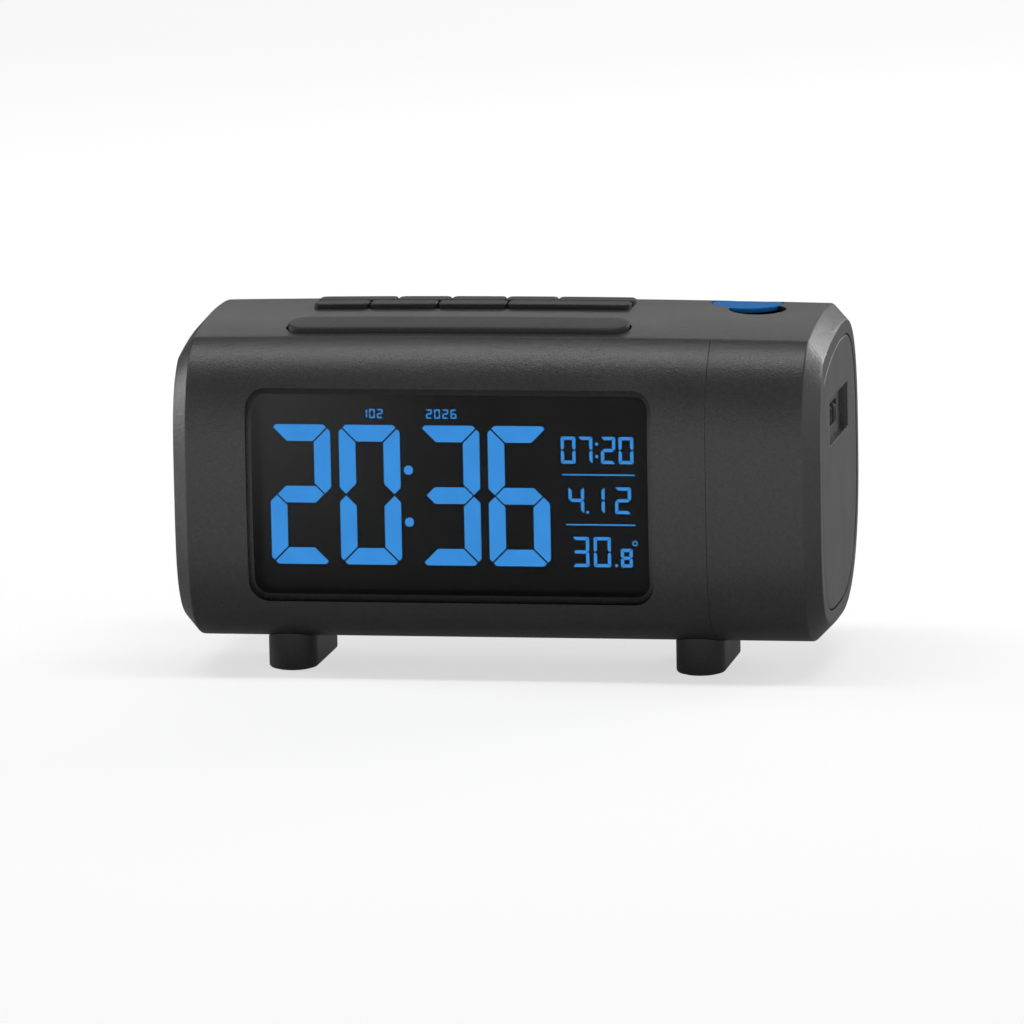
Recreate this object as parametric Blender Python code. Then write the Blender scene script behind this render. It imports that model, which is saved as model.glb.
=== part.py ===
"""Projection alarm clock, built piece by piece in metres.

+X is to the right as the display is read, the display faces -Y and +Z is up. The origin is on the
surface the clock stands on, under the middle of the body. Sizes below are in millimetres and MM turns
them into metres when a mesh is made.
"""

import math

import bmesh
import bpy

MM = 0.001

# Body
BODY_WIDTH = 170.0
BODY_DEPTH = 82.0
END_CHAMFER = 4.2
BODY_BOTTOM = 8.0
WIDEST_HEIGHT = 51.25
FRONT_SHOULDER = 92.55
TOP_APEX = 93.05
APEX_TO_REAR = 32.0
FRONT_TO_CREASE = 13.0
TOP_CROWN = 0.8
FRONT_TOP_POWER = 3.5
FRONT_BOTTOM_POWER = 4.0
REAR_BOTTOM_POWER = 2.4
REAR_TOP_POWER = 3.0
WALL = 2.0
SEAM_FROM_END = 29.3
SPLIT_FROM_REAR = 29.0
TOP_REGION_BOTTOM = 81.25
GAP = 0.3
SLIDE_GAP = 0.4

# End panels
RIM_INSET = 7.6
PANEL_FLANGE_INSET = 6.1
PANEL_FLANGE_THICKNESS = 1.6

# Display
WINDOW_WIDTH = 107.6
WINDOW_HEIGHT = 57.0
WINDOW_FROM_LEFT = 73.3
WINDOW_Z = 48.8
WINDOW_RADIUS = 5.5
WINDOW_DRAFT = 1.2
RECESS_DEPTH = 7.0
RECESS_FRAME = 2.2
WINDOW_EDGE_INSET = 0.6
LENS_THICKNESS = 1.5
GLASS_MARGIN = 1.3
GLASS_THICKNESS = 2.8
GUIDE_THICKNESS = 3.0
GUIDE_SETBACK = 3.6
LCD_FRAME_WALL = 1.4
BOARD_THICKNESS = 1.4
STRIP_LENGTH = 92.0
STRIP_HEIGHT = 2.0
LED_STRIP_HEIGHT = 44.0

# Snooze bar and keys
SNOOZE_LENGTH = 90.4
SNOOZE_WIDTH = 10.2
SNOOZE_FROM_LEFT = 73.1
SNOOZE_FROM_FRONT = 21.2
SNOOZE_TRAVEL = 1.0
KEYS_FROM_LEFT = 31.1
KEY_GAP = 0.5
FRONT_KEY_WIDTHS = {"key_down": 14.5, "key_up": 17.8, "key_alarm": 17.9, "key_light": 32.5}
REAR_KEY_WIDTHS = {
    "key_mode": 20.7,
    "key_zone": 13.8,
    "key_summer_time": 14.2,
    "key_projection": 13.3,
    "key_temperature": 20.2,
}
FRONT_KEY_DEPTH = 5.7
REAR_KEY_DEPTH = 6.3
KEYS_FROM_FRONT = 39.2
KEY_PROUD = 1.3
KEY_BEVEL = 0.6
KEY_TRAVEL = 0.8
FLANGE_THICKNESS = 1.2
FLANGE_REACH = 1.2
MAT_THICKNESS = 1.4

# Projector
LENS_FROM_END = 25.6
LENS_FROM_REAR = 28.0
LENS_RADIUS = 9.4
LENS_CAP_THICKNESS = 1.2
BARREL_RADIUS = 8.0
BARREL_WALL = 0.9
BARREL_LENGTH = 17.9
POCKET_ACROSS = 4.1
POCKET_AHEAD = 10.1
POCKET_RADIUS = 7.8
RING_HEIGHT = 4.0
WHEEL_AHEAD = 13.0
WHEEL_RADIUS = 10.0
WHEEL_THICKNESS = 5.0
WHEEL_PROUD = 0.5
PINION_RADIUS = 6.5
PIN_RADIUS = 1.3
RECESS_LENGTH = 34.4
RECESS_HEIGHT = 12.0
RECESS_Z = 65.45
RECESS_FLOOR = 1.4
SLOT_LENGTH = 18.0
CHASSIS_TOP = 60.05
CHASSIS_THICKNESS = 2.3

# Feet
LEFT_FOOT_FROM_END = 27.6
RIGHT_FOOT_FROM_END = 34.2
FOOT_WIDTH = 13.0
FOOT_FROM_FRONT = 14.0
FOOT_LENGTH = 34.0
PAD_THICKNESS = 1.6
PAD_INSET = 1.6
PEG_RADIUS = 1.8

# Back
SPEAKER_X = -35.0
SPEAKER_Z = 53.25
SPEAKER_RADIUS = 16.0
GRILLE_SLOTS = 5
GRILLE_PITCH = 4.6
GRILLE_SLOT_HEIGHT = 2.0
JACK_X = 46.0
USB_X = 27.0
SWITCH_X = 7.0
PORT_Z = 49.75
SWITCH_TRAVEL = 3.0
CELL_RADIUS = 10.0
CELL_THICKNESS = 3.2
TRAY_X = 30.0
TRAY_Z = 66.25
TRAY_SIDE = 1.5
TRAY_FLOOR = 0.6
SCREW_FROM_END = 11.0
LOWER_SCREW_Z = 17.5
UPPER_SCREW_Z = 81.45
SCREW_RADIUS = 1.4
SCREW_HEAD_RADIUS = 2.8
BOSS_RADIUS = 4.2

# Worked out from the sizes above
HALF_WIDTH = BODY_WIDTH / 2
HALF_DEPTH = BODY_DEPTH / 2
TOP_APEX_Y = HALF_DEPTH - APEX_TO_REAR
TOP_CREASE_Y = HALF_DEPTH - FRONT_TO_CREASE
REAR_SPLIT_Y = HALF_DEPTH - SPLIT_FROM_REAR
SEAM_X = HALF_WIDTH - SEAM_FROM_END
SCREW_X = HALF_WIDTH - SCREW_FROM_END
WINDOW_X = WINDOW_FROM_LEFT - HALF_WIDTH
SNOOZE_X = SNOOZE_FROM_LEFT - HALF_WIDTH
SNOOZE_Y = SNOOZE_FROM_FRONT - HALF_DEPTH
KEY_ROW_START = KEYS_FROM_LEFT - HALF_WIDTH
KEY_BLOCK_FRONT = KEYS_FROM_FRONT - HALF_DEPTH
LENS_X = HALF_WIDTH - LENS_FROM_END
LENS_Y = HALF_DEPTH - LENS_FROM_REAR
POCKET_X = LENS_X + POCKET_ACROSS
POCKET_Y = LENS_Y - POCKET_AHEAD
WHEEL_Y = LENS_Y - WHEEL_AHEAD
FOOT_PLACES = {"left_foot": LEFT_FOOT_FROM_END - HALF_WIDTH, "right_foot": HALF_WIDTH - RIGHT_FOOT_FROM_END}
FOOT_FRONT = FOOT_FROM_FRONT - HALF_DEPTH
TRAY_WIDTH = 2 * (CELL_RADIUS + TRAY_SIDE)
TRAY_LENGTH = 2 * CELL_RADIUS + 5.0
TRAY_HEIGHT = CELL_THICKNESS + 2 * TRAY_FLOOR
FRONT = -HALF_DEPTH
LENS_FACE = FRONT + RECESS_DEPTH + SLIDE_GAP
GLASS_FACE = LENS_FACE + LENS_THICKNESS + GAP
GUIDE_FACE = GLASS_FACE + GLASS_THICKNESS + GAP
POCKET_FLOOR = GUIDE_FACE + GUIDE_THICKNESS + GAP
FRAME_BACK = POCKET_FLOOR + LCD_FRAME_WALL
BOARD_FACE = FRAME_BACK + GAP
GLASS_WIDTH = WINDOW_WIDTH + 2 * GLASS_MARGIN
GLASS_HEIGHT = WINDOW_HEIGHT + 2 * GLASS_MARGIN
FRAME_WIDTH = GLASS_WIDTH + 2 * (GAP + LCD_FRAME_WALL)
FRAME_HEIGHT = GLASS_HEIGHT + 2 * (GAP + LCD_FRAME_WALL)
KEY_BOARD_BOTTOM = WINDOW_Z + FRAME_HEIGHT / 2 + SLIDE_GAP
MAT_BOTTOM = KEY_BOARD_BOTTOM + BOARD_THICKNESS + GAP
MAT_TOP = MAT_BOTTOM + MAT_THICKNESS
KEY_BLOCK_LENGTH = sum(FRONT_KEY_WIDTHS.values()) + KEY_GAP * (len(FRONT_KEY_WIDTHS) - 1)
KEY_BLOCK_DEPTH = FRONT_KEY_DEPTH + KEY_GAP + REAR_KEY_DEPTH
END_FACE = HALF_WIDTH - 0.1
PANEL_INNER = HALF_WIDTH - WALL - GAP - PANEL_FLANGE_THICKNESS
WHEEL_X = HALF_WIDTH - RECESS_FLOOR + WHEEL_PROUD - WHEEL_RADIUS
RING_RADIUS = math.hypot(WHEEL_X - LENS_X, WHEEL_AHEAD) - PINION_RADIUS - GAP
WHEEL_BOTTOM = RECESS_Z - WHEEL_THICKNESS / 2
RING_BOTTOM = WHEEL_BOTTOM + WHEEL_THICKNESS + 4.4
RING_TOP = RING_BOTTOM + RING_HEIGHT
KEY_TRAVEL_ROOM = KEY_TRAVEL + GAP
REAR_BOARD_Y = HALF_DEPTH - WALL - 9.0

MATERIALS = {
    # name: (colour, roughness, metallic)
    "housing_black": ((0.035, 0.035, 0.037, 1), 0.55, 0.0),
    "key_black": ((0.022, 0.022, 0.024, 1), 0.42, 0.0),
    "smoked_window": ((0.01, 0.01, 0.012, 1), 0.08, 0.0),
    "display_glass": ((0.05, 0.06, 0.08, 1), 0.1, 0.0),
    "clear_acrylic": ((0.75, 0.8, 0.85, 1), 0.15, 0.0),
    "white_plastic": ((0.8, 0.8, 0.78, 1), 0.45, 0.0),
    "board_green": ((0.02, 0.12, 0.05, 1), 0.5, 0.0),
    "chip_black": ((0.02, 0.02, 0.02, 1), 0.5, 0.0),
    "lens_blue": ((0.02, 0.2, 0.6, 1), 0.2, 0.0),
    "lens_glass": ((0.6, 0.75, 0.9, 1), 0.05, 0.0),
    "black_rubber": ((0.02, 0.02, 0.02, 1), 0.8, 0.0),
    "grey_silicone": ((0.3, 0.3, 0.32, 1), 0.7, 0.0),
    "bright_steel": ((0.6, 0.6, 0.6, 1), 0.3, 1.0),
    "dark_magnet": ((0.1, 0.1, 0.11, 1), 0.4, 0.8),
    "cone_paper": ((0.04, 0.04, 0.045, 1), 0.85, 0.0),
}


# Tools


def clear_scene():
    for thing in list(bpy.data.objects):
        bpy.data.objects.remove(thing, do_unlink=True)


def material(name):
    """The named material, made the first time it is asked for."""
    found = bpy.data.materials.get(name)
    if found:
        return found
    colour, roughness, metallic = MATERIALS[name]
    made = bpy.data.materials.new(name)
    made.use_nodes = True
    shader = made.node_tree.nodes["Principled BSDF"]
    shader.inputs["Base Color"].default_value = colour
    shader.inputs["Roughness"].default_value = roughness
    shader.inputs["Metallic"].default_value = metallic
    made.diffuse_color = colour
    return made


def solid(name, points, faces, finish=None):
    """A mesh object from points in millimetres, with its faces turned outwards."""
    mesh = bpy.data.meshes.new(name)
    mesh.from_pydata([tuple(c * MM for c in point) for point in points], [], faces)
    work = bmesh.new()
    work.from_mesh(mesh)
    bmesh.ops.recalc_face_normals(work, faces=work.faces)
    work.to_mesh(mesh)
    work.free()
    made = bpy.data.objects.new(name, mesh)
    bpy.context.scene.collection.objects.link(made)
    if finish:
        mesh.materials.append(material(finish))
    return made


def loft(name, rings, finish=None):
    """A closed solid through rings of equally many points, capped at both ends."""
    count = len(rings[0])
    points = [point for ring in rings for point in ring]
    faces = [tuple(range(count)), tuple(range(len(points) - count, len(points)))]
    for level in range(len(rings) - 1):
        for i in range(count):
            near = level * count
            j = (i + 1) % count
            faces.append((near + i, near + j, near + count + j, near + count + i))
    return solid(name, points, faces, finish)


def placed(outline, axis, at):
    """A flat outline put across an axis at one place along it."""
    if axis == "X":
        return [(at, a, b) for a, b in outline]
    if axis == "Y":
        return [(a, at, b) for a, b in outline]
    return [(a, b, at) for a, b in outline]


def prism(name, outline, axis, low, high, finish=None):
    return loft(name, [placed(outline, axis, low), placed(outline, axis, high)], finish)


def box(name, low, high, finish=None):
    outline = [(low[0], low[1]), (high[0], low[1]), (high[0], high[1]), (low[0], high[1])]
    return prism(name, outline, "Z", low[2], high[2], finish)


def circle(a, b, radius, count=24):
    turn = 2 * math.pi / count
    return [(a + radius * math.cos(i * turn), b + radius * math.sin(i * turn)) for i in range(count)]


def cylinder(name, centre, radius, axis, low, high, finish=None, count=24):
    return prism(name, circle(*centre, radius, count), axis, low, high, finish)


def rounded_rectangle(a, b, width, height, radius, steps=5):
    """Outline points with each corner as an arc of steps points."""
    points = []
    for corner, (sa, sb) in enumerate(((1, 1), (-1, 1), (-1, -1), (1, -1))):
        middle_a = a + sa * (width / 2 - radius)
        middle_b = b + sb * (height / 2 - radius)
        for i in range(steps):
            angle = (corner + i / (steps - 1)) * math.pi / 2
            points.append((middle_a + radius * math.cos(angle), middle_b + radius * math.sin(angle)))
    return points


def apply_boolean(target, tool, operation, keep_tool=False):
    """Runs one exact Boolean and keeps its result as the target's mesh."""
    step = target.modifiers.new("step", "BOOLEAN")
    step.operation = operation
    step.solver = "EXACT"
    step.object = tool
    bpy.context.view_layer.update()
    graph = bpy.context.evaluated_depsgraph_get()
    result = bpy.data.meshes.new_from_object(target.evaluated_get(graph))
    target.modifiers.remove(step)
    old = target.data
    target.data = result
    result.name = target.name
    bpy.data.meshes.remove(old)
    if not keep_tool:
        bpy.data.objects.remove(tool, do_unlink=True)
    return target


def cut(target, *tools):
    for tool in tools:
        apply_boolean(target, tool, "DIFFERENCE")
    return target


def join(target, *tools):
    for tool in tools:
        apply_boolean(target, tool, "UNION")
    return target


def keep_inside(target, tool):
    return apply_boolean(target, tool, "INTERSECT")


def copy_of(source, name):
    made = source.copy()
    made.data = source.data.copy()
    made.name = name
    made.data.name = name
    bpy.context.scene.collection.objects.link(made)
    return made


def turn_smooth(made, degrees=35):
    made.data.shade_smooth()
    made.data.set_sharp_from_angle(angle=math.radians(degrees))
    return made


def move_origin(made, origin):
    """Puts a moving piece's origin on its joint without moving the piece."""
    place = [c * MM for c in origin]
    for vertex in made.data.vertices:
        vertex.co = [c - p for c, p in zip(vertex.co, place)]
    made.location = place
    return made


# Body surface


def crown(x):
    """How far the top drops from the middle towards the ends."""
    return TOP_CROWN * (x / (HALF_WIDTH - END_CHAMFER)) ** 2


def crease_height(x, inset=0.0):
    """Height of the edge between the front and the top, on the front's superellipse."""
    reach = TOP_CREASE_Y / (HALF_DEPTH - inset)
    rise = (1 - reach**FRONT_TOP_POWER) ** (1 / FRONT_TOP_POWER)
    return WIDEST_HEIGHT + (FRONT_SHOULDER - WIDEST_HEIGHT - inset - crown(x)) * rise


def top_height(x, y, inset=0.0):
    """Height of the top: a parabola before the apex and a superellipse behind it."""
    apex = TOP_APEX - crown(x) - inset
    if y <= TOP_APEX_Y:
        low = crease_height(x, inset)
        part = (TOP_APEX_Y - y) / (TOP_APEX_Y + TOP_CREASE_Y)
        return low + (apex - low) * (1 - part**2)
    part = (y - TOP_APEX_Y) / (HALF_DEPTH - inset - TOP_APEX_Y)
    part = min(part, 1.0)
    return WIDEST_HEIGHT + (apex - WIDEST_HEIGHT) * (1 - part**REAR_TOP_POWER) ** (1 / REAR_TOP_POWER)


def quadrant(middle, reach, rise, power, start, end, steps):
    """Points along one quarter of a superellipse, from one angle to the other, without the last."""
    points = []
    for i in range(steps):
        angle = start + (end - start) * i / steps
        across = max(math.cos(angle), 0.0) ** (2 / power)
        up = max(math.sin(angle), 0.0) ** (2 / power)
        points.append((middle[0] + reach * across, middle[1] + rise * up))
    return points


def body_profile(x, inset=0.0, steps=9):
    """The body's outline in Y and Z at one X, from the front's middle down and round."""
    half = HALF_DEPTH - inset
    low = WIDEST_HEIGHT - BODY_BOTTOM - inset
    shoulder = FRONT_SHOULDER - WIDEST_HEIGHT - inset - crown(x)
    apex = TOP_APEX - WIDEST_HEIGHT - inset - crown(x)
    quarter = math.pi / 2
    crease = math.acos((TOP_CREASE_Y / half) ** (FRONT_TOP_POWER / 2))
    middle = (0.0, WIDEST_HEIGHT)
    points = quadrant(middle, -half, -low, FRONT_BOTTOM_POWER, 0, quarter, steps)
    points += quadrant(middle, half, -low, REAR_BOTTOM_POWER, quarter, 0, steps)
    top = (TOP_APEX_Y, WIDEST_HEIGHT)
    points += quadrant(top, half - TOP_APEX_Y, apex, REAR_TOP_POWER, 0, quarter, steps)
    run = TOP_APEX_Y + TOP_CREASE_Y
    dome = [TOP_APEX_Y - run * i / steps for i in range(steps)]
    points += [(y, top_height(x, y, inset)) for y in dome]
    points += quadrant(middle, -half, shoulder, FRONT_TOP_POWER, crease, 0, steps)
    return points


def body_solid(name, inset):
    """The whole body shrunk by inset on every side, its end chamfers included."""
    slope = math.tan(math.radians(22.5))
    flat = HALF_WIDTH - END_CHAMFER - inset * slope
    end = HALF_WIDTH - inset
    stations = [(-end, END_CHAMFER + inset * slope), (-flat, inset)]
    stations += [(flat * part, inset) for part in (-0.5, 0.0, 0.5)]
    stations += [(flat, inset), (end, END_CHAMFER + inset * slope)]
    return loft(name, [placed(body_profile(x, depth), "X", x) for x, depth in stations])


# Housing


def region(name, low_x, high_x, low_y, high_y, low_z=-5.0, high_z=120.0):
    return box(name, (low_x, low_y, low_z), (high_x, high_y, high_z))


def screw_places():
    return [(sx * SCREW_X, z) for z in (LOWER_SCREW_Z, UPPER_SCREW_Z) for sx in (-1, 1)]


def add_lug(housing, x, z, low_z, high_z):
    """A block under the wall that a housing screw bites into."""
    half = BOSS_RADIUS
    lug = box("lug", (x - half, REAR_SPLIT_Y - 9, low_z), (x + half, REAR_SPLIT_Y - GAP, high_z))
    keep_inside(lug, body_solid("limit", WALL / 2))
    join(housing, lug)
    cut(housing, cylinder("hole", (x, z), SCREW_RADIUS + GAP, "Y", -10, REAR_SPLIT_Y + 1, count=12))


def housings():
    """The shell, cut into front housing, projector housing, top panel and rear cover."""
    shell = body_solid("shell", 0.0)
    cut(shell, body_solid("cavity", WALL))
    for side in (-1, 1):
        outline = body_profile(HALF_WIDTH, RIM_INSET)
        low, high = side * (HALF_WIDTH - WALL - 1), side * (HALF_WIDTH + 1)
        cut(shell, prism("opening", outline, "X", low, high))
    far = 200.0
    half = GAP / 2
    pieces = {}
    for name, low_x, high_x, low_y, high_y in (
        ("front_housing", -far, SEAM_X - half, -far, REAR_SPLIT_Y - half),
        ("projector_housing", SEAM_X + half, far, -far, REAR_SPLIT_Y - half),
        ("rear_cover", -far, far, REAR_SPLIT_Y + half, far),
    ):
        piece = copy_of(shell, name)
        keep_inside(piece, region("part", low_x, high_x, low_y, high_y))
        crease = TOP_CREASE_Y + half
        cut(piece, region("top", -far, far, -crease, crease, TOP_REGION_BOTTOM))
        pieces[name] = piece
    top = copy_of(shell, "top_panel")
    crease = TOP_CREASE_Y - half
    keep_inside(top, region("part", -far, far, -crease, crease, TOP_REGION_BOTTOM))
    pieces["top_panel"] = top
    bpy.data.objects.remove(shell, do_unlink=True)
    for piece in pieces.values():
        piece.data.materials.clear()
        piece.data.materials.append(material("housing_black"))
    return pieces


def window_outline(margin):
    radius = WINDOW_RADIUS + margin
    width, height = WINDOW_WIDTH + 2 * margin, WINDOW_HEIGHT + 2 * margin
    return rounded_rectangle(WINDOW_X, WINDOW_Z, width, height, radius)


def finish_front(front):
    """Adds the display recess, the lower screw lugs and the peg holes."""
    rim = prism("rim", window_outline(RECESS_FRAME), "Y", FRONT - 1, FRONT + RECESS_DEPTH)
    keep_inside(rim, body_solid("limit", WALL / 2))
    join(front, rim)
    slope = WINDOW_DRAFT / RECESS_DEPTH
    mouth = placed(window_outline(slope * 2), "Y", FRONT - 2)
    floor = placed(window_outline(-slope * (RECESS_DEPTH + 1)), "Y", FRONT + RECESS_DEPTH + 1)
    cut(front, loft("mouth", [mouth, floor]))
    seat = window_outline(RECESS_FRAME - WINDOW_EDGE_INSET + GAP)
    cut(front, prism("seat", seat, "Y", LENS_FACE - GAP, LENS_FACE + LENS_THICKNESS + GAP))
    add_lug(front, -SCREW_X, LOWER_SCREW_Z, BODY_BOTTOM, LOWER_SCREW_Z + BOSS_RADIUS)
    for x, y in peg_places():
        cut(front, cylinder("peg_hole", (x, y), PEG_RADIUS + GAP, "Z", BODY_BOTTOM - 4, BODY_BOTTOM + 6))
    return front


def finish_projector_housing(housing):
    add_lug(housing, SCREW_X, LOWER_SCREW_Z, BODY_BOTTOM, LOWER_SCREW_Z + BOSS_RADIUS)
    return housing


def key_block_outline(margin):
    middle_x = KEY_ROW_START + KEY_BLOCK_LENGTH / 2
    middle_y = KEY_BLOCK_FRONT + KEY_BLOCK_DEPTH / 2
    width = KEY_BLOCK_LENGTH + 2 * margin
    return rounded_rectangle(middle_x, middle_y, width, KEY_BLOCK_DEPTH + 2 * margin, 1.6 + margin, 4)


def snooze_outline(margin):
    width = SNOOZE_WIDTH + 2 * margin
    return rounded_rectangle(SNOOZE_X, SNOOZE_Y, SNOOZE_LENGTH + 2 * margin, width, width / 2 - 0.2, 8)


def finish_top(top):
    """Opens the top for the keys, the snooze bar and the lens, and adds the upper screw lugs."""
    low, high = TOP_REGION_BOTTOM - 5, TOP_APEX + 10
    cut(top, prism("snooze_slot", snooze_outline(SLIDE_GAP), "Z", low, high))
    cut(top, prism("key_slot", key_block_outline(SLIDE_GAP), "Z", low, high))
    cut(top, cylinder("lens_hole", (LENS_X, LENS_Y), LENS_RADIUS + SLIDE_GAP, "Z", low, high, count=40))
    cut(top, cylinder("pocket", (POCKET_X, POCKET_Y), POCKET_RADIUS, "Z", low, high, count=36))
    for side in (-1, 1):
        add_lug(top, side * SCREW_X, UPPER_SCREW_Z, UPPER_SCREW_Z - BOSS_RADIUS, TOP_APEX)
    return top


def finish_rear(rear):
    """Adds the screw bosses, the speaker ring, the grille and the openings for the ports."""
    seat = REAR_SPLIT_Y + 3.0
    for x, z in screw_places():
        boss = cylinder("boss", (x, z), BOSS_RADIUS, "Y", REAR_SPLIT_Y + GAP / 2, HALF_DEPTH + 2)
        keep_inside(boss, body_solid("limit", WALL / 2))
        join(rear, boss)
        beyond = HALF_DEPTH + 5
        cut(rear, cylinder("bore", (x, z), SCREW_RADIUS + GAP, "Y", REAR_SPLIT_Y - 2, beyond, count=16))
        cut(rear, cylinder("head_room", (x, z), SCREW_HEAD_RADIUS + GAP, "Y", seat, beyond, count=16))
    centre = (SPEAKER_X, SPEAKER_Z)
    ring = cylinder("ring", centre, SPEAKER_RADIUS + 1.6, "Y", HALF_DEPTH - 6, HALF_DEPTH - 1, count=32)
    keep_inside(ring, body_solid("limit", WALL / 2))
    join(rear, ring)
    room = SPEAKER_RADIUS + SLIDE_GAP
    depth = HALF_DEPTH - WALL
    cut(rear, cylinder("room", centre, room, "Y", HALF_DEPTH - 8, depth - 0.2, count=32))
    for row in range(GRILLE_SLOTS):
        rise = (row - (GRILLE_SLOTS - 1) / 2) * GRILLE_PITCH
        reach = 2 * math.sqrt((SPEAKER_RADIUS - 2.5) ** 2 - rise**2)
        outline = rounded_rectangle(SPEAKER_X, SPEAKER_Z + rise, reach, GRILLE_SLOT_HEIGHT, 0.95, 4)
        cut(rear, prism("slot", outline, "Y", HALF_DEPTH - 5, HALF_DEPTH + 3))
    openings = (
        rounded_rectangle(USB_X, PORT_Z, 15.4, 8.0, 0.8, 3),
        circle(JACK_X, PORT_Z, 4.2),
        rounded_rectangle(SWITCH_X + SWITCH_TRAVEL / 2, PORT_Z, 4 + SWITCH_TRAVEL + 0.8, 3.4, 0.5, 3),
        rounded_rectangle(TRAY_X, TRAY_Z, TRAY_WIDTH + 2.8, TRAY_HEIGHT + 2.8, 1.2, 3),
    )
    for outline in openings:
        cut(rear, prism("port", outline, "Y", HALF_DEPTH - 6, HALF_DEPTH + 3))
    return rear


def end_panel(name, side):
    """The plate that closes one end, held behind the rim by its flange."""
    inner = PANEL_INNER
    step = HALF_WIDTH - WALL - GAP
    rings = []
    for x, inset in (
        (inner, PANEL_FLANGE_INSET),
        (step, PANEL_FLANGE_INSET),
        (step, RIM_INSET + GAP),
        (END_FACE, RIM_INSET + GAP),
    ):
        rings.append(placed(body_profile(HALF_WIDTH, inset), "X", side * x))
    return loft(name, rings, "housing_black")


def right_end_panel():
    """The right end plate, with the thumb recess and the slot for the focus wheel."""
    panel = end_panel("right_end_panel", 1)
    floor = HALF_WIDTH - RECESS_FLOOR
    half = RECESS_LENGTH / 2
    low, high = RECESS_Z - RECESS_HEIGHT / 2, RECESS_Z + RECESS_HEIGHT / 2
    cut(panel, box("recess", (floor, WHEEL_Y - half, low), (HALF_WIDTH + 1, WHEEL_Y + half, high)))
    half = SLOT_LENGTH / 2
    low, high = WHEEL_BOTTOM - SLIDE_GAP, WHEEL_BOTTOM + WHEEL_THICKNESS + SLIDE_GAP
    cut(panel, box("slot", (PANEL_INNER - 1, WHEEL_Y - half, low), (HALF_WIDTH + 1, WHEEL_Y + half, high)))
    return panel


# Feet


def foot_outline(x, margin=0.0):
    """A foot from above: a round front and nearly square back corners."""
    half = FOOT_WIDTH / 2 - margin
    middle = FOOT_FRONT + FOOT_WIDTH / 2
    back = FOOT_FRONT + FOOT_LENGTH - margin
    points = []
    for i in range(13):
        angle = math.pi + math.pi * i / 12
        points.append((x + half * math.cos(angle), middle + half * math.sin(angle)))
    corner = 1.2
    points += [(x + half, back - corner), (x + half - corner, back)]
    points += [(x - half + corner, back), (x - half, back - corner)]
    return points


def peg_places():
    """Two pegs for each foot, both to the left of its middle so that they miss the housing seam."""
    offset = FOOT_WIDTH / 2 - 3.0
    rows = (FOOT_FRONT + 9, FOOT_FRONT + FOOT_LENGTH - 9)
    return [(x - offset, y) for x in FOOT_PLACES.values() for y in rows]


def feet():
    for name, x in FOOT_PLACES.items():
        rings = [
            placed(foot_outline(x, 0.8), "Z", GAP),
            placed(foot_outline(x), "Z", 1.1),
            placed(foot_outline(x), "Z", BODY_BOTTOM + 6),
        ]
        foot = loft(name, rings, "housing_black")
        cut(foot, body_solid("body", -GAP))
        cut(foot, prism("pad_pocket", foot_outline(x, PAD_INSET - GAP), "Z", -1, PAD_THICKNESS + GAP))
        for px, py in peg_places():
            if abs(px - x) < FOOT_WIDTH:
                peg = cylinder("peg", (px, py), PEG_RADIUS, "Z", PAD_THICKNESS + 2, BODY_BOTTOM + WALL + 1.5)
                join(foot, peg)
        prism(name + "_pad", foot_outline(x, PAD_INSET), "Z", 0.0, PAD_THICKNESS, "black_rubber")


# Display


def rectangle(width, height, x=WINDOW_X, z=WINDOW_Z):
    return [
        (x - width / 2, z - height / 2),
        (x + width / 2, z - height / 2),
        (x + width / 2, z + height / 2),
        (x - width / 2, z + height / 2),
    ]


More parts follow.
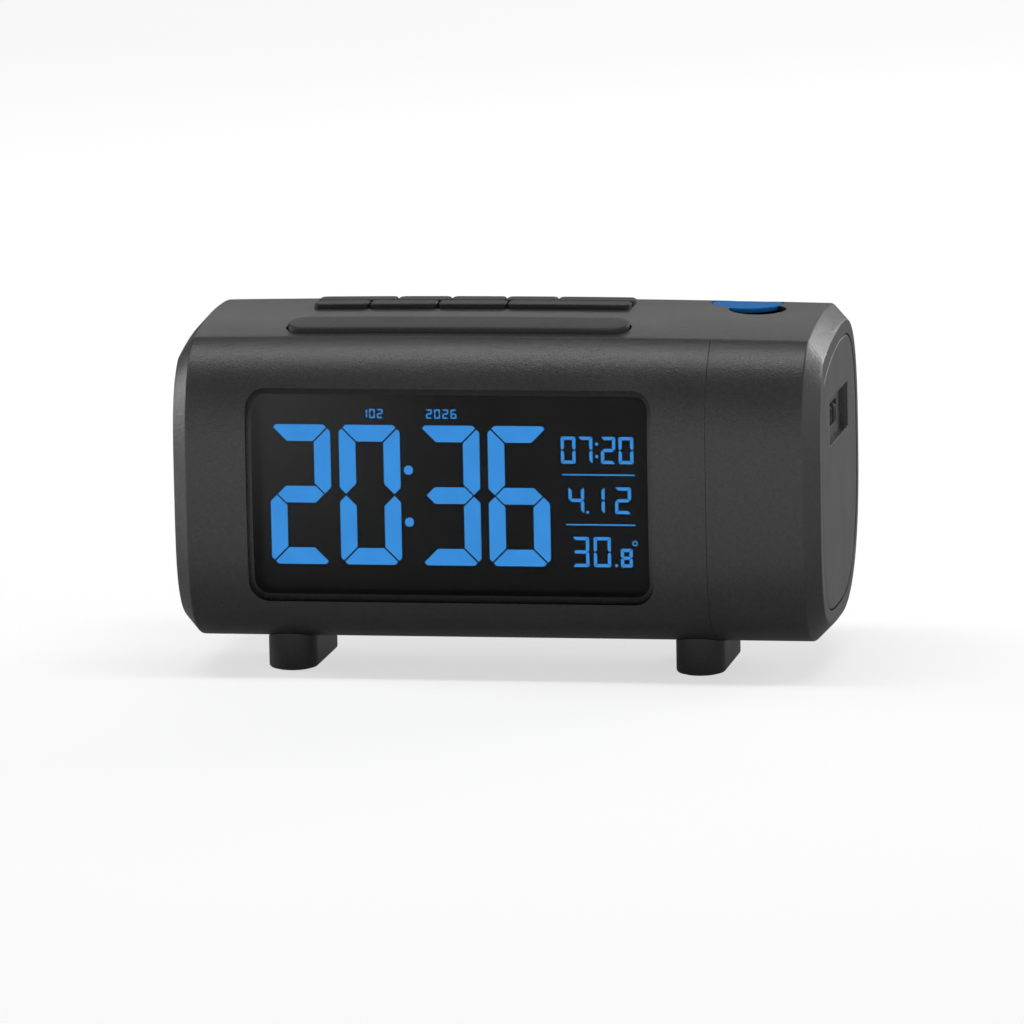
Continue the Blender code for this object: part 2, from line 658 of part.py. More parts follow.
def display():
    """Window, LCD, light guide, frame and board, one behind the other."""
    outline = window_outline(RECESS_FRAME - WINDOW_EDGE_INSET)
    prism("display_window", outline, "Y", LENS_FACE, LENS_FACE + LENS_THICKNESS, "smoked_window")
    outline = rectangle(GLASS_WIDTH, GLASS_HEIGHT)
    prism("lcd_glass", outline, "Y", GLASS_FACE, GLASS_FACE + GLASS_THICKNESS, "display_glass")
    guide_width = WINDOW_WIDTH - 4.0
    guide_height = GLASS_HEIGHT - 2 * GUIDE_SETBACK
    outline = rectangle(guide_width, guide_height, WINDOW_X - 1.0)
    prism("light_guide", outline, "Y", GUIDE_FACE, GUIDE_FACE + GUIDE_THICKNESS, "clear_acrylic")
    led_low = WINDOW_X - 1.0 + guide_width / 2 + GAP
    box(
        "led_strip",
        (led_low, GUIDE_FACE, WINDOW_Z - LED_STRIP_HEIGHT / 2),
        (led_low + 1.6, GUIDE_FACE + GUIDE_THICKNESS, WINDOW_Z + LED_STRIP_HEIGHT / 2),
        "white_plastic",
    )
    outline = rectangle(FRAME_WIDTH, FRAME_HEIGHT)
    frame = prism("lcd_frame", outline, "Y", GLASS_FACE, FRAME_BACK, "white_plastic")
    outline = rectangle(GLASS_WIDTH + 2 * GAP, GLASS_HEIGHT + 2 * GAP)
    cut(frame, prism("pocket", outline, "Y", GLASS_FACE - 1, POCKET_FLOOR))
    reach = GLASS_HEIGHT / 2 - STRIP_HEIGHT / 2 - 0.6
    for name, side in (("connector_strip_top", 1), ("connector_strip_bottom", -1)):
        z = WINDOW_Z + side * reach
        slot = rectangle(STRIP_LENGTH + 2 * GAP, STRIP_HEIGHT + 2 * GAP, WINDOW_X, z)
        cut(frame, prism("slot", slot, "Y", POCKET_FLOOR - 1, FRAME_BACK + 1))
        strip = rectangle(STRIP_LENGTH, STRIP_HEIGHT, WINDOW_X, z)
        prism(name, strip, "Y", GUIDE_FACE, BOARD_FACE - GAP, "grey_silicone")
    outline = rectangle(FRAME_WIDTH - 3, FRAME_HEIGHT - 1)
    prism("main_board", outline, "Y", BOARD_FACE, BOARD_FACE + BOARD_THICKNESS, "board_green")
    chip_face = BOARD_FACE + BOARD_THICKNESS + GAP
    prism("clock_chip", rectangle(14, 14, WINDOW_X + 10), "Y", chip_face, chip_face + 1.4, "chip_black")


# Keys


def domed_cap(name, outline_of, base, proud, finish):
    """A cap whose top follows the housing's top, raised by proud and bevelled round its edge."""
    full = outline_of(0.0)
    small = outline_of(-KEY_BEVEL)
    rings = [[(x, y, base) for x, y in full]]
    rings.append([(x, y, top_height(x, y) + proud - KEY_BEVEL) for x, y in full])
    rings.append([(x, y, top_height(x, y) + proud) for x, y in small])
    return loft(name, rings, finish)


def under_flange(low_x, high_x, low_y, high_y):
    """The stop flange under the top panel, as a block that just clears its inner face."""
    corners = [(x, y) for x in (low_x, high_x) for y in (low_y, high_y)]
    height = min(top_height(x, y, WALL) for x, y in corners) - GAP
    return box("flange", (low_x, low_y, height - FLANGE_THICKNESS), (high_x, high_y, height)), height


def key(name, low_x, high_x, low_y, high_y, flange_y):
    """One key: cap, flange to its outer side and plunger down to just above the rubber mat."""
    width, depth = high_x - low_x, high_y - low_y
    middle = ((low_x + high_x) / 2, (low_y + high_y) / 2)

    def outline_of(margin):
        return rounded_rectangle(*middle, width + 2 * margin, depth + 2 * margin, 1.6 + margin, 4)

    flange_low, flange_high = min(low_y, flange_y), max(high_y, flange_y)
    flange, height = under_flange(low_x, high_x, flange_low, flange_high)
    made = domed_cap(name, outline_of, height - FLANGE_THICKNESS / 2, KEY_PROUD, "key_black")
    stem = cylinder("stem", middle, 1.5, "Z", MAT_TOP + KEY_TRAVEL_ROOM, height - FLANGE_THICKNESS / 2)
    join(made, flange, stem)
    return move_origin(made, (*middle, height))


def key_row(widths, low_y, high_y, flange_y):
    left = KEY_ROW_START
    for name, width in widths.items():
        key(name, left, left + width, low_y, high_y, flange_y)
        left += width + KEY_GAP


def keys():
    front_high = KEY_BLOCK_FRONT + FRONT_KEY_DEPTH
    rear_low = front_high + KEY_GAP
    rear_high = rear_low + REAR_KEY_DEPTH
    key_row(FRONT_KEY_WIDTHS, KEY_BLOCK_FRONT, front_high, KEY_BLOCK_FRONT - SLIDE_GAP - FLANGE_REACH)
    key_row(REAR_KEY_WIDTHS, rear_low, rear_high, rear_high + SLIDE_GAP + FLANGE_REACH)


def snooze_bar():
    half_x, half_y = SNOOZE_LENGTH / 2 + FLANGE_REACH, SNOOZE_WIDTH / 2 + FLANGE_REACH
    low_y, high_y = SNOOZE_Y - half_y, SNOOZE_Y + half_y
    flange, height = under_flange(SNOOZE_X - half_x, SNOOZE_X + half_x, low_y, high_y)
    bar = domed_cap("snooze_bar", snooze_outline, height - FLANGE_THICKNESS / 2, KEY_PROUD - 0.1, "key_black")
    join(bar, flange)
    return move_origin(bar, (SNOOZE_X, SNOOZE_Y, height))


def key_boards():
    """The rubber mat and the board under the keys, and the posts that hold them from the top panel."""
    low_x = min(KEY_ROW_START, SNOOZE_X - SNOOZE_LENGTH / 2) - 2
    high_x = max(KEY_ROW_START + KEY_BLOCK_LENGTH, SNOOZE_X + SNOOZE_LENGTH / 2) + 2
    low_y = SNOOZE_Y - SNOOZE_WIDTH / 2
    high_y = KEY_BLOCK_FRONT + KEY_BLOCK_DEPTH + 2
    box("key_mat", (low_x, low_y, MAT_BOTTOM), (high_x, high_y, MAT_TOP), "grey_silicone")
    reach = 5.0
    top = KEY_BOARD_BOTTOM + BOARD_THICKNESS
    box("key_board", (low_x - reach, low_y, KEY_BOARD_BOTTOM), (high_x + reach, high_y, top), "board_green")
    return [(x, y) for x in (low_x - reach / 2, high_x + reach / 2) for y in (low_y + 3, high_y - 3)], top


def add_posts(top, places, board_top):
    for x, y in places:
        post = cylinder("post", (x, y), 1.9, "Z", board_top + GAP, TOP_APEX, count=12)
        keep_inside(post, body_solid("limit", WALL / 2))
        join(top, post)


# Projector


def lens_group():
    """Blue cap and barrel, the lens inside, and the ring that moves them."""
    centre = (LENS_X, LENS_Y)
    rim = circle(*centre, LENS_RADIUS, 40)
    low = [(x, y, top_height(x, y) - LENS_CAP_THICKNESS) for x, y in rim]
    high = [(x, y, top_height(x, y) - 0.05) for x, y in rim]
    cap = loft("lens_cap", [low, high], "lens_blue")
    barrel_top = min(top_height(x, y) for x, y in rim) - LENS_CAP_THICKNESS - GAP
    bottom = barrel_top - BARREL_LENGTH
    barrel = cylinder("lens_barrel", centre, BARREL_RADIUS, "Z", bottom, barrel_top, "lens_blue", 32)
    bore = BARREL_RADIUS - BARREL_WALL
    cut(barrel, cylinder("bore", centre, bore, "Z", bottom - 1, barrel_top + 1, count=32))
    lens_top = barrel_top - 1.5
    lens = cylinder("projection_lens", centre, bore - GAP, "Z", lens_top - 3, lens_top, "lens_glass", 32)
    ring = cylinder("focus_ring", centre, RING_RADIUS, "Z", RING_BOTTOM, RING_TOP, "white_plastic", 40)
    cut(ring, cylinder("bore", centre, BARREL_RADIUS + GAP, "Z", RING_BOTTOM - 1, RING_TOP + 1, count=32))
    for piece in (cap, barrel, lens, ring):
        turn_smooth(piece)
        move_origin(piece, (LENS_X, LENS_Y, bottom))
    return bore - GAP, lens_top - 3


def focus_wheel():
    """The thumbwheel with its ribs, and the pinion on the same hub."""
    ribs = 36
    outline = []
    for i in range(ribs * 2):
        angle = math.pi * i / ribs
        radius = WHEEL_RADIUS - (0.45 if i % 2 else 0.0)
        outline.append((WHEEL_X + radius * math.cos(angle), WHEEL_Y + radius * math.sin(angle)))
    top = WHEEL_BOTTOM + WHEEL_THICKNESS
    wheel = prism("focus_wheel", outline, "Z", WHEEL_BOTTOM, top, "key_black")
    centre = (WHEEL_X, WHEEL_Y)
    join(wheel, cylinder("hub", centre, 3.6, "Z", WHEEL_BOTTOM + 1, RING_BOTTOM + 1))
    join(wheel, cylinder("pinion", centre, PINION_RADIUS, "Z", RING_BOTTOM, RING_TOP, count=32))
    cut(wheel, cylinder("bore", centre, PIN_RADIUS + GAP, "Z", WHEEL_BOTTOM - 5, RING_TOP + 5, count=16))
    move_origin(wheel, (*centre, WHEEL_BOTTOM))
    pin = cylinder("wheel_pin", centre, PIN_RADIUS, "Z", CHASSIS_TOP + GAP, RING_TOP + 0.2, "bright_steel", 16)
    return turn_smooth(pin)


def light_engine(tube_radius, lens_bottom):
    """The chassis with its tube, and what makes the picture inside it."""
    centre = (LENS_X, LENS_Y)
    bottom = CHASSIS_TOP - CHASSIS_THICKNESS
    low, high = (LENS_X - 12, WHEEL_Y - 9), (PANEL_INNER - 1.0, LENS_Y + 12)
    chassis = box("projector_chassis", (*low, bottom), (*high, CHASSIS_TOP), "white_plastic")
    join(chassis, cylinder("tube", centre, tube_radius, "Z", bottom + 1, lens_bottom - 2.0, count=32))
    near_x, far_x = low[0] + 3, LENS_X + 7
    for x, y in ((near_x, high[1] - 20), (near_x, high[1] - 3), (far_x, low[1] + 4), (far_x, high[1] - 3)):
        leg = box("leg", (x - 2, y - 2.5, 0), (x + 2, y + 2.5, bottom + 1))
        keep_inside(leg, body_solid("limit", WALL + GAP))
        join(chassis, leg)
    bore = tube_radius - 1.2
    cut(chassis, cylinder("bore", centre, bore, "Z", bottom - 5, lens_bottom + 5, count=32))
    low_z, high_z = CHASSIS_TOP + 3, CHASSIS_TOP + 6
    turn_smooth(cylinder("condenser_lens", centre, bore - GAP, "Z", low_z, high_z, "lens_glass"))
    half = (bore - GAP) / math.sqrt(2)
    at = CHASSIS_TOP + 9
    box(
        "projection_lcd",
        (LENS_X - half, LENS_Y - half, at),
        (LENS_X + half, LENS_Y + half, at + 1.4),
        "display_glass",
    )
    board_top = bottom - GAP
    box(
        "projector_board",
        (LENS_X - 6, LENS_Y - 6, board_top - BOARD_THICKNESS),
        (LENS_X + 6, LENS_Y + 6, board_top),
        "board_green",
    )
    low_z, high_z = board_top + GAP, CHASSIS_TOP + 1.5
    turn_smooth(cylinder("projector_led", centre, 2.5, "Z", low_z, high_z, "clear_acrylic"))


# Back


def power_ports():
    """The power board with the two sockets and the slide switch that look out of the back."""
    face = REAR_BOARD_Y
    low_x, high_x = SWITCH_X - 8, JACK_X + 7
    box("power_board", (low_x, face - BOARD_THICKNESS, PORT_Z - 9), (high_x, face, PORT_Z + 7), "board_green")
    near = face + GAP
    low, high = (JACK_X - 4.6, near, PORT_Z - 5), (JACK_X + 4.6, HALF_DEPTH - WALL - 1.2, PORT_Z + 5)
    jack = box("dc_socket", low, high, "chip_black")
    centre = (JACK_X, PORT_Z)
    join(jack, cylinder("nose", centre, 3.8, "Y", HALF_DEPTH - WALL - 2, HALF_DEPTH - 0.5))
    cut(jack, cylinder("bore", centre, 2.9, "Y", near + 1, HALF_DEPTH + 1))
    join(jack, cylinder("centre_pin", centre, 1.0, "Y", near + 0.5, HALF_DEPTH - 2.0, count=12))
    low, high = (USB_X - 7.2, near, PORT_Z - 3.5), (USB_X + 7.2, HALF_DEPTH - 0.4, PORT_Z + 3.5)
    usb = box("usb_socket", low, high, "bright_steel")
    low, high = (USB_X - 6.3, near + 1.5, PORT_Z - 2.6), (USB_X + 6.3, HALF_DEPTH + 1, PORT_Z + 2.6)
    cut(usb, box("mouth", low, high))
    low, high = (USB_X - 5.2, near + 1, PORT_Z + 0.2), (USB_X + 5.2, HALF_DEPTH - 1.6, PORT_Z + 2.0)
    join(usb, box("tongue", low, high))
    middle = SWITCH_X + SWITCH_TRAVEL / 2
    body_back = near + 5.0
    box("switch_body", (middle - 5, near, PORT_Z - 2.8), (middle + 5, body_back, PORT_Z + 2.8), "bright_steel")
    knob = box(
        "switch_knob",
        (SWITCH_X - 2, body_back + GAP, PORT_Z - 1.3),
        (SWITCH_X + 2, HALF_DEPTH - GAP, PORT_Z + 1.3),
        "key_black",
    )
    move_origin(knob, (SWITCH_X, HALF_DEPTH - WALL, PORT_Z))


def speaker():
    centre = (SPEAKER_X, SPEAKER_Z)
    front = HALF_DEPTH - WALL - 0.2 - GAP
    back = front - 7.0
    basket = cylinder("speaker_basket", centre, SPEAKER_RADIUS, "Y", back, front, "dark_magnet", 32)
    cut(basket, cylinder("bowl", centre, SPEAKER_RADIUS - 1.4, "Y", back + 1.4, front + 1, count=32))
    magnet = cylinder("speaker_magnet", centre, 8.0, "Y", back - GAP - 5.0, back - GAP, "dark_magnet")
    rings = []
    for radius, y in ((SPEAKER_RADIUS - 1.7, front - 0.8), (SPEAKER_RADIUS - 1.7, front - 1.6), (5.0, back + 1.7)):
        rings.append(placed(circle(*centre, radius), "Y", y))
    cone = loft("speaker_cone", rings, "cone_paper")
    for piece in (basket, magnet, cone):
        turn_smooth(piece)


def backup_cell():
    """The coin cell in its drawer, and the fixed sleeve that the drawer slides in."""
    face = HALF_DEPTH - GAP
    low_y = face - TRAY_LENGTH
    low, high = TRAY_Z - TRAY_HEIGHT / 2, TRAY_Z + TRAY_HEIGHT / 2
    near, far = TRAY_X - TRAY_WIDTH / 2, TRAY_X + TRAY_WIDTH / 2
    tray = box("cell_tray", (near, low_y, low), (far, face, high), "housing_black")
    plate = rounded_rectangle(TRAY_X, TRAY_Z, TRAY_WIDTH + 2.0, TRAY_HEIGHT + 2.0, 1.0, 3)
    join(tray, prism("plate", plate, "Y", face - 1.6, face))
    cell_y = low_y + CELL_RADIUS + 1.4
    cell_low = high - 0.3 - CELL_THICKNESS
    room = cylinder("room", (TRAY_X, cell_y), CELL_RADIUS + GAP, "Z", cell_low - GAP, high + 2, count=32)
    cut(tray, room)
    move_origin(tray, (TRAY_X, face, TRAY_Z))
    cell_top = cell_low + CELL_THICKNESS
    cell = cylinder("coin_cell", (TRAY_X, cell_y), CELL_RADIUS, "Z", cell_low, cell_top, "bright_steel", 32)
    turn_smooth(cell)
    outer_x, outer_z = TRAY_WIDTH / 2 + 2.2, TRAY_HEIGHT / 2 + 2.0
    sleeve_face = HALF_DEPTH - WALL - 1.2
    sleeve = box(
        "cell_sleeve",
        (TRAY_X - outer_x, low_y - 2.0, TRAY_Z - outer_z),
        (TRAY_X + outer_x, sleeve_face, TRAY_Z + outer_z),
        "white_plastic",
    )
    half_x, half_z = TRAY_WIDTH / 2 + SLIDE_GAP, TRAY_HEIGHT / 2 + SLIDE_GAP
    cut(
        sleeve,
        box(
            "bore",
            (TRAY_X - half_x, low_y - SLIDE_GAP, TRAY_Z - half_z),
            (TRAY_X + half_x, sleeve_face + 1, TRAY_Z + half_z),
        ),
    )


def housing_screws():
    seat = REAR_SPLIT_Y + 3.0 + GAP
    for number, (x, z) in enumerate(screw_places(), 1):
        name = f"housing_screw_{number}"
        screw = cylinder(name, (x, z), SCREW_HEAD_RADIUS, "Y", seat, seat + 2.0, "bright_steel", 16)
        shank = cylinder("shank", (x, z), SCREW_RADIUS, "Y", seat - 10.0, seat + 1.0, count=12)
        join(screw, shank)
        cross = 0.5
        for wide, tall in ((1.8, cross), (cross, 1.8)):
            cut(screw, box("drive", (x - wide, seat + 1.2, z - tall), (x + wide, seat + 3, z + tall)))
        turn_smooth(screw)


def build():
    clear_scene()
    pieces = housings()
    finish_front(pieces["front_housing"])
    finish_projector_housing(pieces["projector_housing"])
    finish_top(pieces["top_panel"])
    finish_rear(pieces["rear_cover"])
    end_panel("left_end_panel", -1)
    right_end_panel()
    feet()
    display()
    keys()
    snooze_bar()
    post_places, board_top = key_boards()
    add_posts(pieces["top_panel"], post_places, board_top)
    tube_radius, lens_bottom = lens_group()
    focus_wheel()
    light_engine(tube_radius, lens_bottom)
    power_ports()
    speaker()
    backup_cell()
    housing_screws()
    for name, piece in pieces.items():
        turn_smooth(piece, 25)


build()
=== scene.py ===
import math

import bmesh
import bpy
import numpy as np
from mathutils import Matrix, Vector
from mathutils.geometry import delaunay_2d_cdt


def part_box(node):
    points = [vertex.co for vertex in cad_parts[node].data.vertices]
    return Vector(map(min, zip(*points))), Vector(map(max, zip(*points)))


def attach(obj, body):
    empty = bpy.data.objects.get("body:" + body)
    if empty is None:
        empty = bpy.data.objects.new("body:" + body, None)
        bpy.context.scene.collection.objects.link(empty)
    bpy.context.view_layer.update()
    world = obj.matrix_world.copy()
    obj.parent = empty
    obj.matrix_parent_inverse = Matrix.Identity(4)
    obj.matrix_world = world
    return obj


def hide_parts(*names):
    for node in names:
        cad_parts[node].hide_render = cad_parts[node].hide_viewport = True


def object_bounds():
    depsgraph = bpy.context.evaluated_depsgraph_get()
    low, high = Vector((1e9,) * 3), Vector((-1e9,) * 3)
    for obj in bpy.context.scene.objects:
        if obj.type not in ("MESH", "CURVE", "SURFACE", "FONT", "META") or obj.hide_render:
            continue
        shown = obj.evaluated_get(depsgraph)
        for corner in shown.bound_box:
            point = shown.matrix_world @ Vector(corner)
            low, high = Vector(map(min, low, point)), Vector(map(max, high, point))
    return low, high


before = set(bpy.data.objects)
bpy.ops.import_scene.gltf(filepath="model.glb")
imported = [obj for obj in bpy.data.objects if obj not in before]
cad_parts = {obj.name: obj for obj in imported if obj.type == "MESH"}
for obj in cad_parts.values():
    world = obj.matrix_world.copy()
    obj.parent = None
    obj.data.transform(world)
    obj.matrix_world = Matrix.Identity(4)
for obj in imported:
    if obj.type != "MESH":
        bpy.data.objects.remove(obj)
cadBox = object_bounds()
mm = 0.001
print("frame loaded:", len(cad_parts), "nodes")

# camera, floor and light

cameraView = {
    "azimuth": 10.1,        # degrees to the right of straight on
    "elevation": 9.45,
    "roll": 1.08,
    "distance": 2.217,      # metres
    "target": (-0.00202, -0.001, 0.03862),
    "viewWidth": 0.2694737,  # metres across the view at the target
}


def makeCamera(c):
    turn, lift, roll = (math.radians(c[k]) for k in ("azimuth", "elevation", "roll"))
    ahead = Vector((-math.sin(turn) * math.cos(lift), math.cos(turn) * math.cos(lift), -math.sin(lift)))
    right = ahead.cross(Vector((0, 0, 1))).normalized()
    up = right.cross(ahead)
    tiltedRight = right * math.cos(roll) - up * math.sin(roll)
    tiltedUp = right * math.sin(roll) + up * math.cos(roll)
    data = bpy.data.cameras.new("camera")
    data.sensor_width = 36
    data.lens = c["distance"] / c["viewWidth"] * data.sensor_width
    camera = bpy.data.objects.new("camera", data)
    place = Vector(c["target"]) - ahead * c["distance"]
    turned = Matrix((tiltedRight, tiltedUp, -ahead)).transposed().to_4x4()
    camera.matrix_world = Matrix.Translation(place) @ turned
    bpy.context.scene.collection.objects.link(camera)
    bpy.context.scene.camera = camera


makeCamera(cameraView)

studio = {
    "horizonLight": 1.0,    # a pale band low in front of the clock
    "skyLight": 0.10,
    "skyStarts": 0.26,      # sine of the elevation where the sky's own light begins
    "bandEnds": 0.35,       # how far round to the back the pale band reaches
    "worldForCamera": 0.94,
    "floorColour": 0.34,
    "floorGlow": 0.645,
    "farGlow": 0.85,        # the floor's own light far behind the clock
    "floorBounce": 0.22,    # how pale the floor is for the light it throws back
    "nearBounceGlow": 0.12,
    "farBounceGlow": 1.4,
    "bounceStarts": -0.05,  # metres, a little in front of the clock's middle
    "bounceReach": 0.22,    # metres further in front, where the floor throws back its full light
    "farGlowStarts": 0.1,
    "farGlowFull": 2.0,
    "floorRoughness": 0.9,
    "floorGloss": 0.1,
    "floorSize": 60,
    "lightsAim": 0.05,      # metres above the floor
    "lights": (  # name, azimuth, elevation, distance, size across, size up, watts
        ("topSoftbox", 0, 84, 1.5, 1.7, 0.30, 17.0),
        ("leftStrip", -96, 12, 1.4, 0.3, 0.4, 9.0),
        ("rightPanel", 138, 17, 1.5, 0.9, 0.3, 9.0),
        ("rightFill", 80, 14, 1.5, 0.8, 0.5, 2.5),
        ("backPanel", 186, 28, 1.3, 1.2, 0.4, 1.8),
    ),
}


def makeStudio(s):
    scene = bpy.context.scene
    scene.view_settings.view_transform = "Standard"
    world = bpy.data.worlds.new("studio")
    world.use_nodes = True
    nodes, links = world.node_tree.nodes, world.node_tree.links
    back = nodes["Background"]
    back.inputs["Color"].default_value = (1, 1, 1, 1)
    path = nodes.new("ShaderNodeLightPath")
    height = nodes.new("ShaderNodeSeparateXYZ")
    links.new(nodes.new("ShaderNodeTexCoord").outputs["Generated"], height.inputs[0])
    glow = nodes.new("ShaderNodeMapRange")
    glow.interpolation_type = "SMOOTHSTEP"
    glow.inputs["From Max"].default_value = s["skyStarts"]
    glow.inputs["To Min"].default_value = s["horizonLight"]
    glow.inputs["To Max"].default_value = s["skyLight"]
    links.new(height.outputs["Z"], glow.inputs["Value"])
    facing = nodes.new("ShaderNodeMapRange")
    facing.interpolation_type = "SMOOTHSTEP"
    facing.inputs["From Min"].default_value = s["bandEnds"]
    facing.inputs["From Max"].default_value = -s["bandEnds"]
    links.new(height.outputs["Y"], facing.inputs["Value"])
    band = nodes.new("ShaderNodeMix")
    band.inputs["A"].default_value = s["skyLight"]
    links.new(facing.outputs["Result"], band.inputs["Factor"])
    links.new(glow.outputs["Result"], band.inputs["B"])
    strength = nodes.new("ShaderNodeMix")
    strength.inputs["B"].default_value = s["worldForCamera"]
    links.new(band.outputs["Result"], strength.inputs["A"])
    links.new(path.outputs["Is Camera Ray"], strength.inputs["Factor"])
    links.new(strength.outputs["Result"], back.inputs["Strength"])
    scene.world = world
    floorMaterial = bpy.data.materials.new("paleFloor")
    floorMaterial.use_nodes = True
    nodes, links = floorMaterial.node_tree.nodes, floorMaterial.node_tree.links
    shader = nodes["Principled BSDF"]
    shader.inputs["Roughness"].default_value = s["floorRoughness"]
    shader.inputs["Specular IOR Level"].default_value = s["floorGloss"]
    shader.inputs["Emission Color"].default_value = (1, 1, 1, 1)
    path = nodes.new("ShaderNodeLightPath")
    away = nodes.new("ShaderNodeSeparateXYZ")
    links.new(nodes.new("ShaderNodeTexCoord").outputs["Object"], away.inputs[0])

    def alongY(start, end, low, high):
        made = nodes.new("ShaderNodeMapRange")
        made.interpolation_type = "SMOOTHSTEP"
        for socket, value in (("From Min", start), ("From Max", end), ("To Min", low), ("To Max", high)):
            made.inputs[socket].default_value = value
        links.new(away.outputs["Y"], made.inputs["Value"])
        return made.outputs["Result"]

    start = s["bounceStarts"]
    bounce = alongY(start, start - s["bounceReach"], s["nearBounceGlow"], s["farBounceGlow"])
    seenGlow = alongY(s["farGlowStarts"], s["farGlowFull"], s["floorGlow"], s["farGlow"])
    colour, glowing = nodes.new("ShaderNodeMix"), nodes.new("ShaderNodeMix")
    colour.inputs["A"].default_value = s["floorBounce"]
    colour.inputs["B"].default_value = s["floorColour"]
    links.new(bounce, glowing.inputs["A"])
    links.new(seenGlow, glowing.inputs["B"])
    for made, socket in ((colour, "Base Color"), (glowing, "Emission Strength")):
        links.new(path.outputs["Is Camera Ray"], made.inputs["Factor"])
        links.new(made.outputs["Result"], shader.inputs[socket])
    bpy.ops.mesh.primitive_plane_add(size=s["floorSize"], location=(0, 0, 0))
    floor = bpy.context.object
    floor.name = "floor"
    floor.data.materials.append(floorMaterial)
    for name, azimuth, elevation, distance, across, tall, watts in s["lights"]:
        data = bpy.data.lights.new(name, "AREA")
        data.shape = "RECTANGLE"
        data.size, data.size_y, data.energy = across, tall, watts
        lamp = bpy.data.objects.new(name, data)
        turn, lift = math.radians(azimuth), math.radians(elevation)
        level = math.cos(lift)
        outward = Vector((math.sin(turn) * level, -math.cos(turn) * level, math.sin(lift)))
        lamp.location = outward * distance + Vector((0, 0, s["lightsAim"]))
        lamp.rotation_euler = outward.to_track_quat("Z", "Y").to_euler()
        scene.collection.objects.link(lamp)


makeStudio(studio)
print("camera and studio ready")

# materials


def makeGrainGroup():
    # a cloudy tone, a fine grain height and a soft patchiness, all on Object coordinates
    group = bpy.data.node_groups.new("mouldedGrain", "ShaderNodeTree")
    face = group.interface
    wanted = {"Grain size": 2600, "Patch size": 60, "Colour": (0.03, 0.03, 0.03, 1), "Speckle": 0.3,
              "Roughness": 0.5, "Roughness spread": 0.08}
    for name, value in wanted.items():
        kind = "NodeSocketColor" if name == "Colour" else "NodeSocketFloat"
        face.new_socket(name, in_out="INPUT", socket_type=kind).default_value = value
    for name in ("Colour", "Roughness", "Height"):
        kind = "NodeSocketColor" if name == "Colour" else "NodeSocketFloat"
        face.new_socket(name, in_out="OUTPUT", socket_type=kind)
    nodes, links = group.nodes, group.links
    given, out = nodes.new("NodeGroupInput"), nodes.new("NodeGroupOutput")
    place = nodes.new("ShaderNodeTexCoord").outputs["Object"]

    def noise(scaleSocket, detail, times=1.0):
        made = nodes.new("ShaderNodeTexNoise")
        made.inputs["Detail"].default_value = detail
        size = nodes.new("ShaderNodeMath")
        size.operation = "MULTIPLY"
        size.inputs[1].default_value = times
        links.new(scaleSocket, size.inputs[0])
        links.new(size.outputs[0], made.inputs["Scale"])
        links.new(place, made.inputs["Vector"])
        return made.outputs["Fac"]

    def spread(value, low, high):
        made = nodes.new("ShaderNodeMapRange")
        for socket, limit in (("From Min", 0.25), ("From Max", 0.75), ("To Min", low), ("To Max", high)):
            made.inputs[socket].default_value = limit
        links.new(value, made.inputs["Value"])
        return made.outputs["Result"]

    def combine(kind, a, b):
        made = nodes.new("ShaderNodeMath")
        made.operation = kind
        links.new(a, made.inputs[0])
        links.new(b, made.inputs[1])
        return made.outputs[0]

    grain = noise(given.outputs["Grain size"], 3.0)
    coarse = noise(given.outputs["Grain size"], 2.0, 0.3)
    patch = noise(given.outputs["Patch size"], 3.0)
    both = combine("ADD", spread(grain, -0.5, 0.5), spread(coarse, -0.25, 0.25))
    tone = combine("ADD", both, spread(patch, -0.15, 0.15))
    factor = combine("MULTIPLY", tone, given.outputs["Speckle"])
    bright = nodes.new("ShaderNodeMath")
    bright.operation = "ADD"
    bright.inputs[1].default_value = 1.0
    links.new(factor, bright.inputs[0])
    scaled = nodes.new("ShaderNodeVectorMath")
    scaled.operation = "SCALE"
    links.new(given.outputs["Colour"], scaled.inputs[0])
    links.new(bright.outputs[0], scaled.inputs["Scale"])
    links.new(scaled.outputs[0], out.inputs["Colour"])
    wander = combine("MULTIPLY", spread(patch, -1.0, 1.0), given.outputs["Roughness spread"])
    links.new(combine("ADD", wander, given.outputs["Roughness"]), out.inputs["Roughness"])
    links.new(both, out.inputs["Height"])
    return group


grainGroup = makeGrainGroup()

